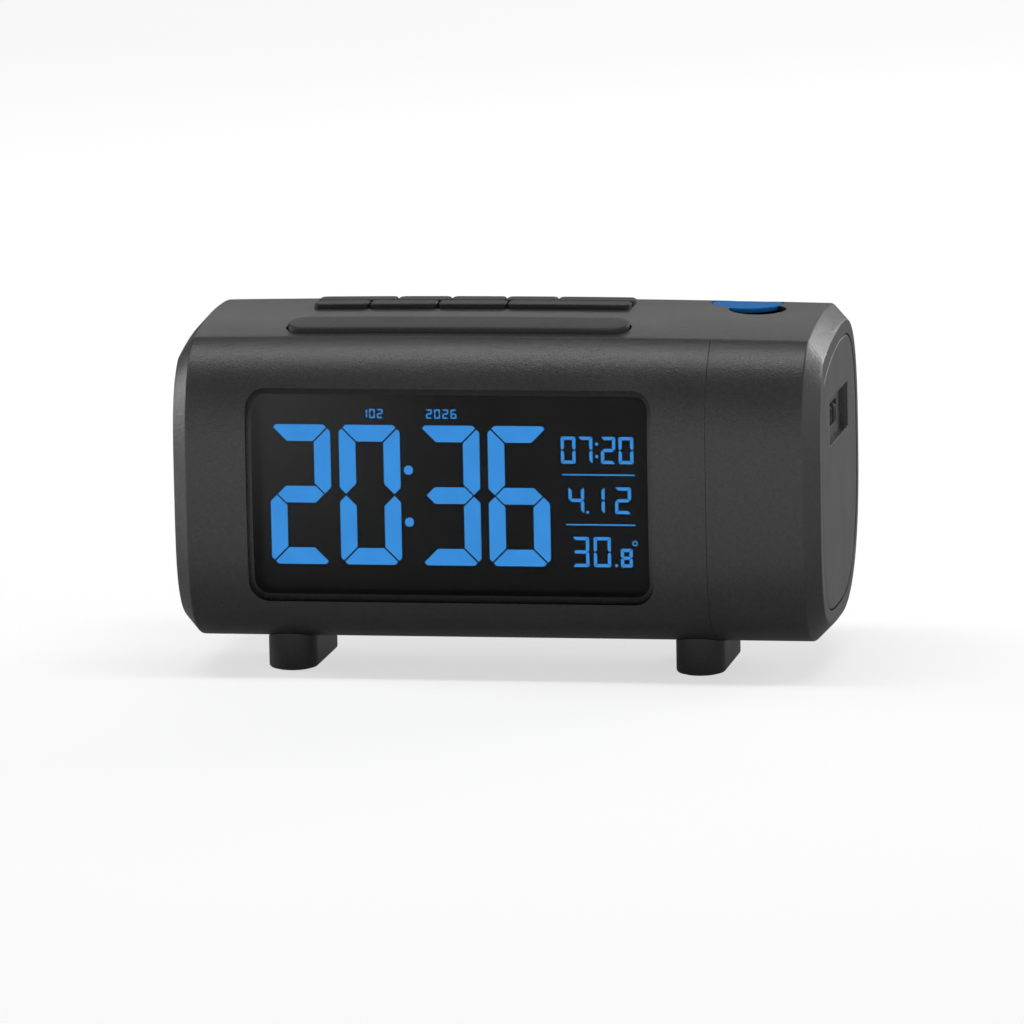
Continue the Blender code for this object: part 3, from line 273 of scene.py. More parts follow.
finishes = {
    # name: colour, speckle, grain size, roughness, spread, bump, plain shader values
    "housingBlack": ((0.024, 0.024, 0.0245), 0.6, 2600, 0.40, 0.03, 0.25, {}),
    "keyBlack": ((0.030, 0.030, 0.0305), 0.4, 3000, 0.4, 0.03, 0.2, {"Specular IOR Level": 0.10}),
    "footBlack": ((0.030, 0.030, 0.0305), 0.35, 2600, 0.36, 0.03, 0.12, {"Specular IOR Level": 0.4}),
    "rubberBlack": ((0.014, 0.014, 0.014), 0.4, 2000, 0.8, 0.05, 0.3, {}),
    "displayBlack": ((0.005, 0.005, 0.0052), 0.25, 900, 0.3, 0.03, 0.0, {"Specular IOR Level": 0.06}),
    "smokedWindow": ((0.86, 0.86, 0.88), 0.02, 400, 0.02, 0.005, 0.0,
                     {"Transmission Weight": 1.0, "IOR": 1.07}),
    "clearPlastic": ((0.9, 0.93, 0.96), 0.03, 400, 0.08, 0.02, 0.0,
                     {"Transmission Weight": 1.0, "IOR": 1.45}),
    "blueLens": ((0.016, 0.140, 0.385), 0.12, 350, 0.4, 0.03, 0.02,
                 {"Specular IOR Level": 0.03, "IOR": 1.3}),
    "blueBarrel": ((0.006, 0.085, 0.27), 0.15, 500, 0.3, 0.04, 0.03, {}),
    "whitePlastic": ((0.78, 0.78, 0.76), 0.06, 1500, 0.45, 0.05, 0.08, {}),
    "boardGreen": ((0.015, 0.11, 0.045), 0.5, 700, 0.4, 0.06, 0.1, {}),
    "chipBlack": ((0.016, 0.016, 0.017), 0.3, 2500, 0.5, 0.05, 0.15, {}),
    "greySilicone": ((0.28, 0.28, 0.3), 0.1, 900, 0.7, 0.05, 0.1, {}),
    "brightSteel": ((0.6, 0.6, 0.59), 0.12, 1800, 0.28, 0.08, 0.04, {"Metallic": 1.0}),
    "magnetGrey": ((0.09, 0.09, 0.1), 0.2, 900, 0.4, 0.06, 0.08, {"Metallic": 0.7}),
    "conePaper": ((0.035, 0.035, 0.038), 0.5, 1200, 0.85, 0.06, 0.4, {}),
    "segmentBlue": ((0.0, 0.0, 0.0), 0.05, 220, 0.6, 0.02, 0.0, {"Specular IOR Level": 0.0}),
}
bumpReach = 0.0002  # metres
segmentGlow = {"colour": (0.047, 0.305, 0.78), "strength": 1.0, "mottle": 0.10, "unlit": (0.002, 0.004, 0.008)}
# a painted reflection: a faint pale glow added over the black glass, strongest at its upper left; places in
# metres
glassPaintedSheen = {"least": 0.003, "most": 0.036, "right": 0.0, "left": -0.085, "low": 0.012, "high": 0.085}


def makeMaterial(name):
    colour, speckle, size, roughness, spreadOf, bump, plain = finishes[name]
    made = bpy.data.materials.new(name)
    made.use_nodes = True
    nodes, links = made.node_tree.nodes, made.node_tree.links
    shader = nodes["Principled BSDF"]
    grain = nodes.new("ShaderNodeGroup")
    grain.node_tree = grainGroup
    for socket, value in (("Grain size", size), ("Colour", (*colour, 1)), ("Speckle", speckle),
                          ("Roughness", roughness), ("Roughness spread", spreadOf)):
        grain.inputs[socket].default_value = value
    links.new(grain.outputs["Colour"], shader.inputs["Base Color"])
    links.new(grain.outputs["Roughness"], shader.inputs["Roughness"])
    for socket, value in plain.items():
        shader.inputs[socket].default_value = value
    if bump:
        bumpNode = nodes.new("ShaderNodeBump")
        bumpNode.inputs["Strength"].default_value = bump
        bumpNode.inputs["Distance"].default_value = bumpReach
        links.new(grain.outputs["Height"], bumpNode.inputs["Height"])
        links.new(bumpNode.outputs["Normal"], shader.inputs["Normal"])
    # the black glass gets a painted reflection: a pale emission that grows towards its upper left
    if name == "displayBlack":
        place = nodes.new("ShaderNodeSeparateXYZ")
        links.new(nodes.new("ShaderNodeTexCoord").outputs["Object"], place.inputs[0])
        shares = []
        for axis, start, end in (("X", "right", "left"), ("Z", "low", "high")):
            share = nodes.new("ShaderNodeMapRange")
            share.interpolation_type = "SMOOTHSTEP"
            share.inputs["From Min"].default_value = glassPaintedSheen[start]
            share.inputs["From Max"].default_value = glassPaintedSheen[end]
            links.new(place.outputs[axis], share.inputs["Value"])
            shares.append(share.outputs["Result"])
        both = nodes.new("ShaderNodeMath")
        both.operation = "MULTIPLY"
        paintedSheen = nodes.new("ShaderNodeMapRange")
        paintedSheen.inputs["To Min"].default_value = glassPaintedSheen["least"]
        paintedSheen.inputs["To Max"].default_value = glassPaintedSheen["most"]
        links.new(shares[0], both.inputs[0])
        links.new(shares[1], both.inputs[1])
        links.new(both.outputs[0], paintedSheen.inputs["Value"])
        links.new(paintedSheen.outputs["Result"], shader.inputs["Emission Strength"])
        shader.inputs["Emission Color"].default_value = (1, 1, 1, 1)
    if name == "segmentBlue":
        grain.inputs["Colour"].default_value = (*segmentGlow["colour"], 1)
        grain.inputs["Speckle"].default_value = segmentGlow["mottle"]
        links.new(grain.outputs["Colour"], shader.inputs["Emission Color"])
        shader.inputs["Emission Strength"].default_value = segmentGlow["strength"]
        links.remove(shader.inputs["Base Color"].links[0])
        shader.inputs["Base Color"].default_value = (*segmentGlow["unlit"], 1)
    return made


finish = {name: makeMaterial(name) for name in finishes}
print("materials made:", len(finish))

# mesh helpers; every shape below is worked out in millimetres


def makePiece(name, points, faces, material, body, nodes=(), smoothAngle=38):
    # a mesh object from an array of points and lists of faces, normals outwards
    mesh = bpy.data.meshes.new(name)
    mesh.from_pydata((np.asarray(points) * mm).tolist(), [], faces)
    work = bmesh.new()
    work.from_mesh(mesh)
    bmesh.ops.remove_doubles(work, verts=work.verts, dist=2e-6)
    bmesh.ops.recalc_face_normals(work, faces=work.faces)
    work.to_mesh(mesh)
    work.free()
    mesh.shade_smooth()
    mesh.set_sharp_from_angle(angle=math.radians(smoothAngle))
    mesh.materials.append(finish[material])
    piece = bpy.data.objects.new(name, mesh)
    bpy.context.scene.collection.objects.link(piece)
    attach(piece, body)
    if nodes:
        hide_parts(*nodes)
    return piece


def offsetLoop(loop, distance):
    # a closed loop, counter-clockwise, moved outwards along its corner mitres
    edge = np.roll(loop, -1, axis=0) - loop
    out = np.stack([edge[:, 1], -edge[:, 0]], 1) / np.linalg.norm(edge, axis=1)[:, None]
    before = np.roll(out, 1, axis=0)
    share = 1 + (before * out).sum(1)
    return loop + distance * (before + out) / share[:, None]


def insideLoop(points, loop):
    # even-odd test of many points against one loop
    inside = np.zeros(len(points), bool)
    for a, b in zip(loop, np.roll(loop, -1, axis=0)):
        crosses = (a[1] > points[:, 1]) != (b[1] > points[:, 1])
        if crosses.any():
            at = a[0] + (points[:, 1] - a[1]) * (b[0] - a[0]) / (b[1] - a[1] if b[1] != a[1] else 1)
            inside ^= crosses & (points[:, 0] < at)
    return inside


def clearOf(points, loops, clearance):
    # which points keep a clearance from every loop's own points
    keep = np.ones(len(points), bool)
    for loop in loops:
        for start in range(0, len(points), 4000):
            part = points[start:start + 4000]
            near = ((part[:, None, :] - loop[None, :, :]) ** 2).sum(2).min(1)
            keep[start:start + 4000] &= near > clearance ** 2
    return keep


def fillFlat(outer, holes, grid):
    # triangles over a flat region with holes, from loops and loose points; gives index triples
    loops = [outer, *holes]
    points = np.concatenate([*loops, grid]) if len(grid) else np.concatenate(loops)
    edges, start = [], 0
    for loop in loops:
        index = np.arange(start, start + len(loop))
        edges += np.stack([index, np.roll(index, -1)], 1).tolist()
        start += len(loop)
    found = delaunay_2d_cdt([Vector(p) for p in points.tolist()], edges, [], 1, 1e-7, True)
    source = np.array([ids[0] for ids in found[3]])
    triangles = source[np.array(found[2])]
    middle = points[triangles].mean(1)
    keep = insideLoop(middle, outer)
    for hole in holes:
        keep &= ~insideLoop(middle, hole)
    return points, triangles[keep]


def roundedRectangle(middle, size, radius, step=0.9, arcPoints=7):
    # a counter-clockwise loop: straight runs split into short steps, corners as arcs
    points = []
    for corner, (sa, sb) in enumerate(((1, 1), (-1, 1), (-1, -1), (1, -1))):
        angle = (corner + np.linspace(0, 1, arcPoints)) * math.pi / 2
        hub = np.array([middle[0] + sa * (size[0] / 2 - radius), middle[1] + sb * (size[1] / 2 - radius)])
        points.append(hub + radius * np.stack([np.cos(angle), np.sin(angle)], 1))
    loop = []
    for run, following in zip(points, points[1:] + points[:1]):
        loop.append(run)
        gap = following[0] - run[-1]
        count = max(int(np.linalg.norm(gap) / step), 1)
        loop.append(run[-1] + gap * (np.arange(1, count) / count)[:, None])
    return np.concatenate(loop)


def circleLoop(middle, radius, count=64):
    angle = np.arange(count) * 2 * math.pi / count
    return np.array(middle) + radius * np.stack([np.cos(angle), np.sin(angle)], 1)


def flatGrid(loop, step):
    low, high = loop.min(0), loop.max(0)
    counts = np.maximum(np.ceil((high - low) / step).astype(int), 1) + 1
    a, b = np.meshgrid(np.linspace(low[0], high[0], counts[0]), np.linspace(low[1], high[1], counts[1]))
    return np.stack([a.ravel(), b.ravel()], 1)


def makePlate(name, place, outer, holes, edge, thick, material, body, nodes=(),
              grid=None, step=1.6, under=None, steps=4, smoothAngle=38):
    # A closed plate over a flat region with holes.
    # place(a, b, depth) carries the flat region onto the shape, depth under its face. Each border
    # turns down through a quarter circle of radius edge, runs to the under side and is closed there.
    # A hole is (loop, edge) or (loop, edge, [(offset, rim place), ...]) with more rings on its way down.
    under = under or (lambda a, b: place(a, b, thick))
    borders = [(outer, -1, edge, [])] + [(h[0], 1, h[1], h[2] if len(h) > 2 else []) for h in holes]
    topLoops = [offsetLoop(loop, sign * r) for loop, sign, r, _ in borders]
    lowLoops = [offsetLoop(loop, extra[-1][0]) if extra else loop for loop, _, _, extra in borders]
    if grid is None:  # loose points of its own, kept just over half a step from the border
        grid = flatGrid(outer, step)
        grid = grid[insideLoop(grid, topLoops[0])]
        grid = grid[clearOf(grid, topLoops[:1], step * 0.55)]
    for loops in (topLoops[1:], lowLoops[1:]):
        for loop in loops:
            grid = grid[~insideLoop(grid, loop)]
        if loops:
            grid = grid[clearOf(grid, loops, 0.6)]
    flatTop, facesTop = fillFlat(topLoops[0], topLoops[1:], grid)
    flatLow, facesLow = fillFlat(lowLoops[0], lowLoops[1:], grid)
    points = [place(flatTop[:, 0], flatTop[:, 1], 0.0), under(flatLow[:, 0], flatLow[:, 1])]
    total = len(flatTop) + len(flatLow)
    faces = [facesTop, facesLow[:, ::-1] + len(flatTop)]
    topStart, lowStart = 0, len(flatTop)
    for loop, sign, r, extra in borders:
        count = len(loop)
        rings = [np.arange(topStart, topStart + count)]
        angle = np.linspace(0, math.pi / 2, steps + 1)[1:]
        for turn in angle:
            ring = offsetLoop(loop, sign * r * (1 - math.sin(turn)))
            points.append(place(ring[:, 0], ring[:, 1], r * (1 - math.cos(turn))))
            rings.append(np.arange(total, total + count))
            total += count
        for offset, ringPlace in extra:
            ring = offsetLoop(loop, offset)
            points.append(ringPlace(ring[:, 0], ring[:, 1]))
            rings.append(np.arange(total, total + count))
            total += count
        rings.append(np.arange(lowStart, lowStart + count))
        for a, b in zip(rings, rings[1:]):
            faces.append(np.stack([a, np.roll(a, -1), np.roll(b, -1), b], 1))
        topStart += count
        lowStart += count
    allFaces = [face for block in faces for face in block.tolist()]
    return makePiece(name, np.concatenate(points), allFaces, material, body, nodes, smoothAngle)


def makeTurned(name, profile, centre, material, body, nodes=(), around=96, ribs=None):
    # A closed profile of (radius, height) carried round a vertical axis.
    # ribs = (count, depth, least radius) pulls the profile in by a rounded wave where it is far enough out.
    profile = np.asarray(profile, float)
    angle = np.arange(around) * 2 * math.pi / around
    radius = np.repeat(profile[None, :, 0], around, 0)
    if ribs:
        count, depth, least = ribs
        wave = np.abs(np.sin(angle * count / 2)) ** 0.7
        radius = radius - (radius > least) * depth * (1 - wave)[:, None]
    x = centre[0] + radius * np.cos(angle)[:, None]
    y = centre[1] + radius * np.sin(angle)[:, None]
    z = np.repeat(profile[None, :, 1], around, 0)
    points = np.stack([x, y, z], 2).reshape(-1, 3)
    index = np.arange(around * len(profile)).reshape(around, len(profile))
    a, b = index, np.roll(index, -1, axis=0)
    quads = np.stack([a, b, np.roll(b, -1, axis=1), np.roll(a, -1, axis=1)], 2).reshape(-1, 4)
    return makePiece(name, points, quads.tolist(), material, body, nodes)


# the body's surface

shape = {
    "halfWidth": cadBox[1][0] / mm,
    "halfDepth": cadBox[1][1] / mm,
    "bottom": 8.0,
    "widest": 51.25,
    "shoulder": 92.55,
    "apex": 93.05,
    "apexY": 9.0,
    "creaseY": 28.0,
    "crown": 0.8,
    "frontTopPower": 3.5,
    "frontBottomPower": 4.0,
    "rearBottomPower": 2.4,
    "rearTopPower": 3.0,
    "chamfer": 4.2,
    "chamferRound": 0.45,
    "rimRound": 0.4,
    "rimInset": 7.6,
    "splitY": 12.0,
    "seamX": 55.7,
    "wall": 2.0,
    "gap": 0.3,
    "seamGap": 0.05,
    "seamEdge": 0.08,
    "stepAlong": 1.7,   # the surface's grid
    "stepRound": 1.3,
}


def crownDrop(x):
    return shape["crown"] * (x / (shape["halfWidth"] - shape["chamfer"])) ** 2


def angleAt(share, power):
    # direction angle of the point of a superellipse whose first coordinate is this share of its reach
    return np.arctan2((1 - share ** power) ** (1 / power), share)


def quarterPoint(reach, rise, power, angle):
    # superellipse |a/reach|^p + |b/rise|^p = 1 in the direction of the angle
    c, s = np.cos(angle), np.sin(angle)
    away = (np.abs(c) ** power + np.abs(s) ** power) ** (-1 / power)
    return reach * away * c, rise * away * s


def sectionPoint(t, x, inset):
    # The body's outline in Y and Z, shrunk by inset: t runs 0 to 7 from the crease down the front,
    # under the body, up the back and over the top, through seven pieces of superellipse and parabola.
    s = shape
    t, x, inset = np.broadcast_arrays(t, x, inset)
    y, z = np.zeros(t.shape), np.zeros(t.shape)
    half = s["halfDepth"] - inset
    low = s["widest"] - s["bottom"] - inset
    shoulder = s["shoulder"] - s["widest"] - inset - crownDrop(x)
    apex = s["apex"] - s["widest"] - inset - crownDrop(x)
    quarter = np.full(t.shape, math.pi / 2)
    zero = np.zeros(t.shape)
    crease = angleAt(s["creaseY"] / half, s["frontTopPower"])
    split = angleAt(s["splitY"] / half, s["rearBottomPower"])
    rear = angleAt((s["creaseY"] - s["apexY"]) / (half - s["apexY"]), s["rearTopPower"])
    pieces = (
        (crease, zero, -half, shoulder, s["frontTopPower"], 0.0),
        (zero, quarter, -half, -low, s["frontBottomPower"], 0.0),
        (quarter, split, half, -low, s["rearBottomPower"], 0.0),
        (split, zero, half, -low, s["rearBottomPower"], 0.0),
        (zero, rear, half - s["apexY"], apex, s["rearTopPower"], s["apexY"]),
        (rear, quarter, half - s["apexY"], apex, s["rearTopPower"], s["apexY"]),
    )
    for number, (start, end, reach, rise, power, middle) in enumerate(pieces):
        part = np.clip(t - number, 0, 1)
        here = (t >= number) & (t <= number + 1)
        across, up = quarterPoint(reach, rise, power, start + (end - start) * part)
        y = np.where(here, middle + across, y)
        z = np.where(here, s["widest"] + up, z)
    part = np.clip(t - 6, 0, 1)
    fall = (1 - (s["creaseY"] / half) ** s["frontTopPower"]) ** (1 / s["frontTopPower"])
    creaseZ = s["widest"] + shoulder * fall
    here = t >= 6
    y = np.where(here, s["apexY"] - (s["apexY"] + s["creaseY"]) * part, y)
    z = np.where(here, creaseZ + (s["widest"] + apex - creaseZ) * (1 - part ** 2), z)
    return y, z


tableT = np.linspace(0, 7, 7001)
tableY, tableZ = sectionPoint(tableT, 0.0, 0.0)
tableV = np.concatenate([[0], np.cumsum(np.hypot(np.diff(tableY), np.diff(tableZ)))])
vSplit, vRear, vEnd = (float(tableV[i * 1000]) for i in (3, 5, 7))


def roundedPath(corners, radii, arcPoints=7):
    # a polyline whose inner corners are arcs of the given radii
    corners = np.array(corners, float)
    path = [corners[:1]]
    for before, corner, after, radius in zip(corners, corners[1:], corners[2:], radii):
        arrive, leave = corner - before, after - corner
        arrive, leave = arrive / np.linalg.norm(arrive), leave / np.linalg.norm(leave)
        bend = math.acos(float(np.clip(arrive @ leave, -1, 1)))
        reach = radius * math.tan(bend / 2)
        share = np.linspace(0, 1, arcPoints)[:, None]
        start, end = corner - arrive * reach, corner + leave * reach
        path.append((1 - share) ** 2 * start + 2 * share * (1 - share) * corner + share ** 2 * end)
    path.append(corners[-1:])
    return np.concatenate(path)


def makeEndPath():
    # along the body, then down its chamfer and over its rim, as (x, inset) against distance
    s = shape
    flat = s["halfWidth"] - s["chamfer"]
    path = roundedPath(
        [(0, 0), (flat, 0), (s["halfWidth"], s["chamfer"]), (s["halfWidth"], s["rimInset"])],
        [s["chamferRound"] * 2, s["rimRound"] * 2])
    along = np.concatenate([[0], np.cumsum(np.linalg.norm(np.diff(path, axis=0), axis=1))])
    return path, along


endPath, endAlong = makeEndPath()
uEnd = float(endAlong[-1])


def bodyPoint(u, v):
    away = np.minimum(np.abs(u), uEnd)
    x = np.sign(u) * np.interp(away, endAlong, endPath[:, 0])
    inset = np.interp(away, endAlong, endPath[:, 1])
    t = np.interp(v, tableV, tableT)
    y, z = sectionPoint(t, x, inset)
    return np.stack([x, y, z], -1)


def bodyPlace(u, v, depth):
    # a point of the body's surface, moved in along the surface's normal
    h = 0.04
    alongU = bodyPoint(u + h, v) - bodyPoint(u - h, v)
    alongV = bodyPoint(u, v + h) - bodyPoint(u, v - h)
    normal = np.cross(alongV, alongU)
    normal /= np.linalg.norm(normal, axis=-1)[..., None]
    return bodyPoint(u, v) - np.asarray(depth)[..., None] * normal


def topHeight(x, y):
    # height of the body's top over a place
    t = np.interp(-np.asarray(y, float), -tableY[5000:], tableT[5000:])
    return sectionPoint(t, x, 0.0)[1]


def bottomHeight(y):
    # height of the body's under side
    s = shape
    power = np.where(y < 0, s["frontBottomPower"], s["rearBottomPower"])
    share = np.clip(np.abs(y) / s["halfDepth"], 0, 1)
    return s["widest"] - (s["widest"] - s["bottom"]) * (1 - share ** power) ** (1 / power)


def fromHeight(loop, low, high):
    # (x, z) of a loop on the front or the back turned into the body's own (u, v)
    s = shape
    x, z = loop[:, 0], loop[:, 1]
    full = (s["shoulder"] if high <= 2000 else s["apex"]) - s["widest"]
    z = np.where(z > s["widest"], s["widest"] + (z - s["widest"]) * full / (full - crownDrop(x)), z)
    heights, places = tableZ[low:high], tableV[low:high]
    order = np.argsort(heights)
    return np.stack([x, np.interp(z, heights[order], places[order])], 1)


def fromPlan(loop):
    # (x, y) of a loop on the top turned into (u, v)
    return np.stack([loop[:, 0], np.interp(-loop[:, 1], -tableY[5000:], tableV[5000:])], 1)


def bodyLines(low, high, step, extra=()):
    # evenly spaced lines plus the extra ones that lie between the limits
    count = max(int(round((high - low) / step)), 1)
    lines = np.linspace(low, high, count + 1)
    extra = np.array([e for e in extra if low + 0.1 < e < high - 0.1])
    if len(extra):
        lines = lines[np.abs(lines[:, None] - extra[None, :]).min(1) > 0.12]
        lines = np.concatenate([lines, extra])
    return np.unique(np.concatenate([[low, high], lines]))


def makeBodyPanel(name, uLow, uHigh, vLow, vHigh, holes, material, body, nodes):
    # one shell of the body between two places along it and two places round it
    s = shape
    arcs = np.concatenate([endAlong[1:-1], -endAlong[1:-1]])
    uLines = bodyLines(uLow, uHigh, s["stepAlong"], arcs)
    vLines = bodyLines(vLow, vHigh, s["stepRound"])
    outer = np.concatenate([
        np.stack([uLines, np.full(len(uLines), vLow)], 1),
        np.stack([np.full(len(vLines) - 1, uHigh), vLines[1:]], 1),
        np.stack([uLines[::-1][1:], np.full(len(uLines) - 1, vHigh)], 1),
        np.stack([np.full(len(vLines) - 2, uLow), vLines[::-1][1:-1]], 1),
    ])
    a, b = np.meshgrid(uLines[1:-1], vLines[1:-1])
    grid = np.stack([a.ravel(), b.ravel()], 1)
    return makePlate(name, bodyPlace, outer, holes, s["seamEdge"], s["wall"], material, body, nodes,
                     grid=grid, steps=3, smoothAngle=35)


half = shape["seamGap"] / 2

window = {
    "middle": (-11.7, 48.8),
    "size": (108.1, 57.6),
    "radius": 6.0,
    "edge": 0.8,
    "draft": 0.7,
    "plane": -34.0,
    "rim": 2.0,
}


def windowHole(w):
    loop = roundedRectangle(w["middle"], w["size"], w["radius"], arcPoints=12)

    def onPlane(offset):
        ring = offsetLoop(loop, offset)
        return lambda a, b: np.stack([ring[:, 0], np.full(len(ring), w["plane"]), ring[:, 1]], 1)

    return (fromHeight(loop, 0, 2000), w["edge"],
            [(0.0, onPlane(-w["draft"])), (w["rim"], onPlane(w["rim"]))])


makeBodyPanel("frontShell", -uEnd, shape["seamX"] - half, half, vSplit - half, [windowHole(window)],
              "housingBlack", "housing", ["front_housing"])
makeBodyPanel("projectorShell", shape["seamX"] + half, uEnd, half, vSplit - half, [],
              "housingBlack", "housing", ["projector_housing"])
print("front shells made")

topHoles = {
    "snooze": {"middle": (-11.9, -19.8), "size": (90.2, 10.0), "gap": 0.75, "endFlat": 0.25},
    "keyBlock": {"start": (-53.9, -1.8), "size": (84.2, 12.5), "radius": 1.6, "gap": 0.4},
    "lens": {"middle": (59.4, 13.0), "radius": 9.8},
    "pocket": {"middle": (63.5, 2.9), "radius": 7.8, "depth": 7.5, "rim": 1.0},
    "edge": 0.25,
}


def twoCircleLoop(a, b, step=0.7):
    # outline of two overlapping circles: each gives the arc that lies outside the other
    arcs = []
    for one, other in ((a, b), (b, a)):
        one0, other0 = np.array(one["middle"]), np.array(other["middle"])
        apart = other0 - one0
        distance = np.linalg.norm(apart)
        facing = math.atan2(apart[1], apart[0])
        radius = one["radius"]
        across = (radius ** 2 + distance ** 2 - other["radius"] ** 2) / (2 * distance * radius)
        halfAngle = math.acos(across)
        count = int((2 * math.pi - 2 * halfAngle) * radius / step)
        angle = facing + halfAngle + np.arange(count) / count * (2 * math.pi - 2 * halfAngle)
        arcs.append(one0 + radius * np.stack([np.cos(angle), np.sin(angle)], 1))
    return np.concatenate(arcs)


def makeTopShell(h):
    s, k, p = h["snooze"], h["keyBlock"], h["pocket"]
    snoozeSize = np.array(s["size"]) + 2 * s["gap"]
    endRadius = s["size"][1] / 2 + s["gap"] - s["endFlat"]
    snoozeLoop = roundedRectangle(s["middle"], snoozeSize, endRadius, arcPoints=14)
    keyMiddle = np.array(k["start"]) + np.array(k["size"]) / 2
    keyLoop = roundedRectangle(keyMiddle, np.array(k["size"]) + 2 * k["gap"], k["radius"] + k["gap"])
    lensLoop = twoCircleLoop(h["lens"], h["pocket"])
    floor = shape["apex"] - p["depth"]

    def atDepth(offset):
        ring = offsetLoop(lensLoop, offset)
        return lambda a, b: np.stack([ring[:, 0], ring[:, 1], np.full(len(ring), floor)], 1)

    skirt = [(0.0, atDepth(0.0)), (p["rim"], atDepth(p["rim"]))]
    holes = [(fromPlan(snoozeLoop), h["edge"]), (fromPlan(keyLoop), h["edge"])]
    holes.append((fromPlan(lensLoop), h["edge"], skirt))
    return makeBodyPanel("topShell", -uEnd, uEnd, vRear + half, vEnd - half, holes,
                         "housingBlack", "housing", ["top_panel"])


makeTopShell(topHoles)
print("top shell made")

rearHoles = {
    "edge": 0.3,
    "usb": {"middle": (27.0, 49.75), "size": (15.4, 8.0), "radius": 0.8},
    "jack": {"middle": (46.0, 49.75), "radius": 4.2},
    "switch": {"middle": (8.5, 49.75), "size": (7.8, 3.4), "radius": 0.5},
    "tray": {"middle": (30.0, 66.25), "size": (25.8, 7.2), "radius": 1.2},
    "speaker": {"middle": (-35.0, 53.25), "radius": 16.0, "slots": 5, "pitch": 4.6, "height": 2.0,
                "margin": 2.5},
    "screws": {"x": 74.0, "z": (17.5, 81.45), "radius": 3.1, "seat": 15.05, "rim": 1.1},
}


def makeRearShell(h):
    holes = []

    def add(loop, extra=()):
        holes.append((fromHeight(loop, 2001, 5000), h["edge"], list(extra)))

    for name in ("usb", "switch", "tray"):
        add(roundedRectangle(h[name]["middle"], h[name]["size"], h[name]["radius"], arcPoints=5))
    add(circleLoop(h["jack"]["middle"], h["jack"]["radius"], 40))
    speaker = h["speaker"]
    for row in range(speaker["slots"]):
        rise = (row - (speaker["slots"] - 1) / 2) * speaker["pitch"]
        reach = 2 * math.sqrt((speaker["radius"] - speaker["margin"]) ** 2 - rise ** 2)
        middle = (speaker["middle"][0], speaker["middle"][1] + rise)
        add(roundedRectangle(middle, (reach, speaker["height"]), speaker["height"] / 2 - 0.05, arcPoints=6))
    screws = h["screws"]
    for z in screws["z"]:
        for side in (-1, 1):
            loop = circleLoop((side * screws["x"], z), screws["radius"], 32)

            def atSeat(offset, loop=loop):
                ring = offsetLoop(loop, offset)
                seat = np.full(len(ring), screws["seat"])
                return lambda a, b: np.stack([ring[:, 0], seat, ring[:, 1]], 1)

            add(loop, [(0.0, atSeat(0.0)), (screws["rim"], atSeat(screws["rim"]))])
    return makeBodyPanel("rearShell", -uEnd, uEnd, vSplit + half, vRear - half, holes,
                         "housingBlack", "housing", ["rear_cover"])


makeRearShell(rearHoles)
print("rear shell made")

# end panels

endPanels = {
    "face": shape["halfWidth"] - 0.1,
    "thick": 3.4,
    "inset": shape["rimInset"] + shape["gap"],
    "edge": 0.45,
    "recess": {"length": 34.4, "height": 12.0, "z": 65.45, "floor": 2.0, "slope": 0.15, "corner": 0.5,
               "edge": 0.12},
    "slot": {"length": 18.0, "height": 5.8, "floor": 3.0},
}


def makeEndPanel(name, side, e, node):
    t = np.interp(np.arange(0, vEnd, 1.4), tableV, tableT)
    y, z = sectionPoint(t, shape["halfWidth"], e["inset"])
    outer = np.stack([y, z], 1)
    area = (outer[:, 0] * np.roll(outer[:, 1], -1) - np.roll(outer[:, 0], -1) * outer[:, 1]).sum()
    if area < 0:
        outer = outer[::-1]

    def place(a, b, depth):
        x = side * (e["face"] - np.broadcast_to(depth, a.shape))
        return np.stack([x, a, b], -1)

    if side < 0:
        return makePlate(name, place, outer, [], e["edge"], e["thick"], "housingBlack", "housing", [node],
                         step=4.0)
    r, slot = e["recess"], e["slot"]
    mouth = roundedRectangle((0.0, r["z"]), (r["length"], r["height"]), r["corner"], step=1.5, arcPoints=4)
    floorLoop = offsetLoop(mouth, -r["slope"])
    centre = np.array([0.0, r["z"]])
    ratio = np.array([slot["length"], slot["height"]]) / (floorLoop.max(0) - floorLoop.min(0))
    slotLoop = centre + (floorLoop - centre) * ratio

    def ringAt(loop, depth):
        x = np.full(len(loop), side * (e["face"] - depth))
        return lambda a, b: np.stack([x, loop[:, 0], loop[:, 1]], 1)

    extra = [(0.0, ringAt(floorLoop, r["floor"])), (0.0, ringAt(slotLoop, r["floor"])),
             (0.0, ringAt(slotLoop, slot["floor"]))]
    holes = [(mouth, r["edge"], extra)]
    return makePlate(name, place, outer, holes, e["edge"], e["thick"], "housingBlack", "housing", [node],
                     step=4.0)


makeEndPanel("leftEndPanel", -1, endPanels, "left_end_panel")
makeEndPanel("rightEndPanel", 1, endPanels, "right_end_panel")
print("end panels made")

# feet

feet = {
    "x": (-57.4, 50.8),
    "width": 13.0,
    "front": -27.0,
    "length": 34.0,
    "low": 0.3,
    "edge": 0.9,
    "corner": 1.6,
    "rootGap": 0.1,   # between the foot's top and the body
    "pad": {"inset": 1.6, "gap": 0.3, "edge": 0.25, "thick": 0.5},
}


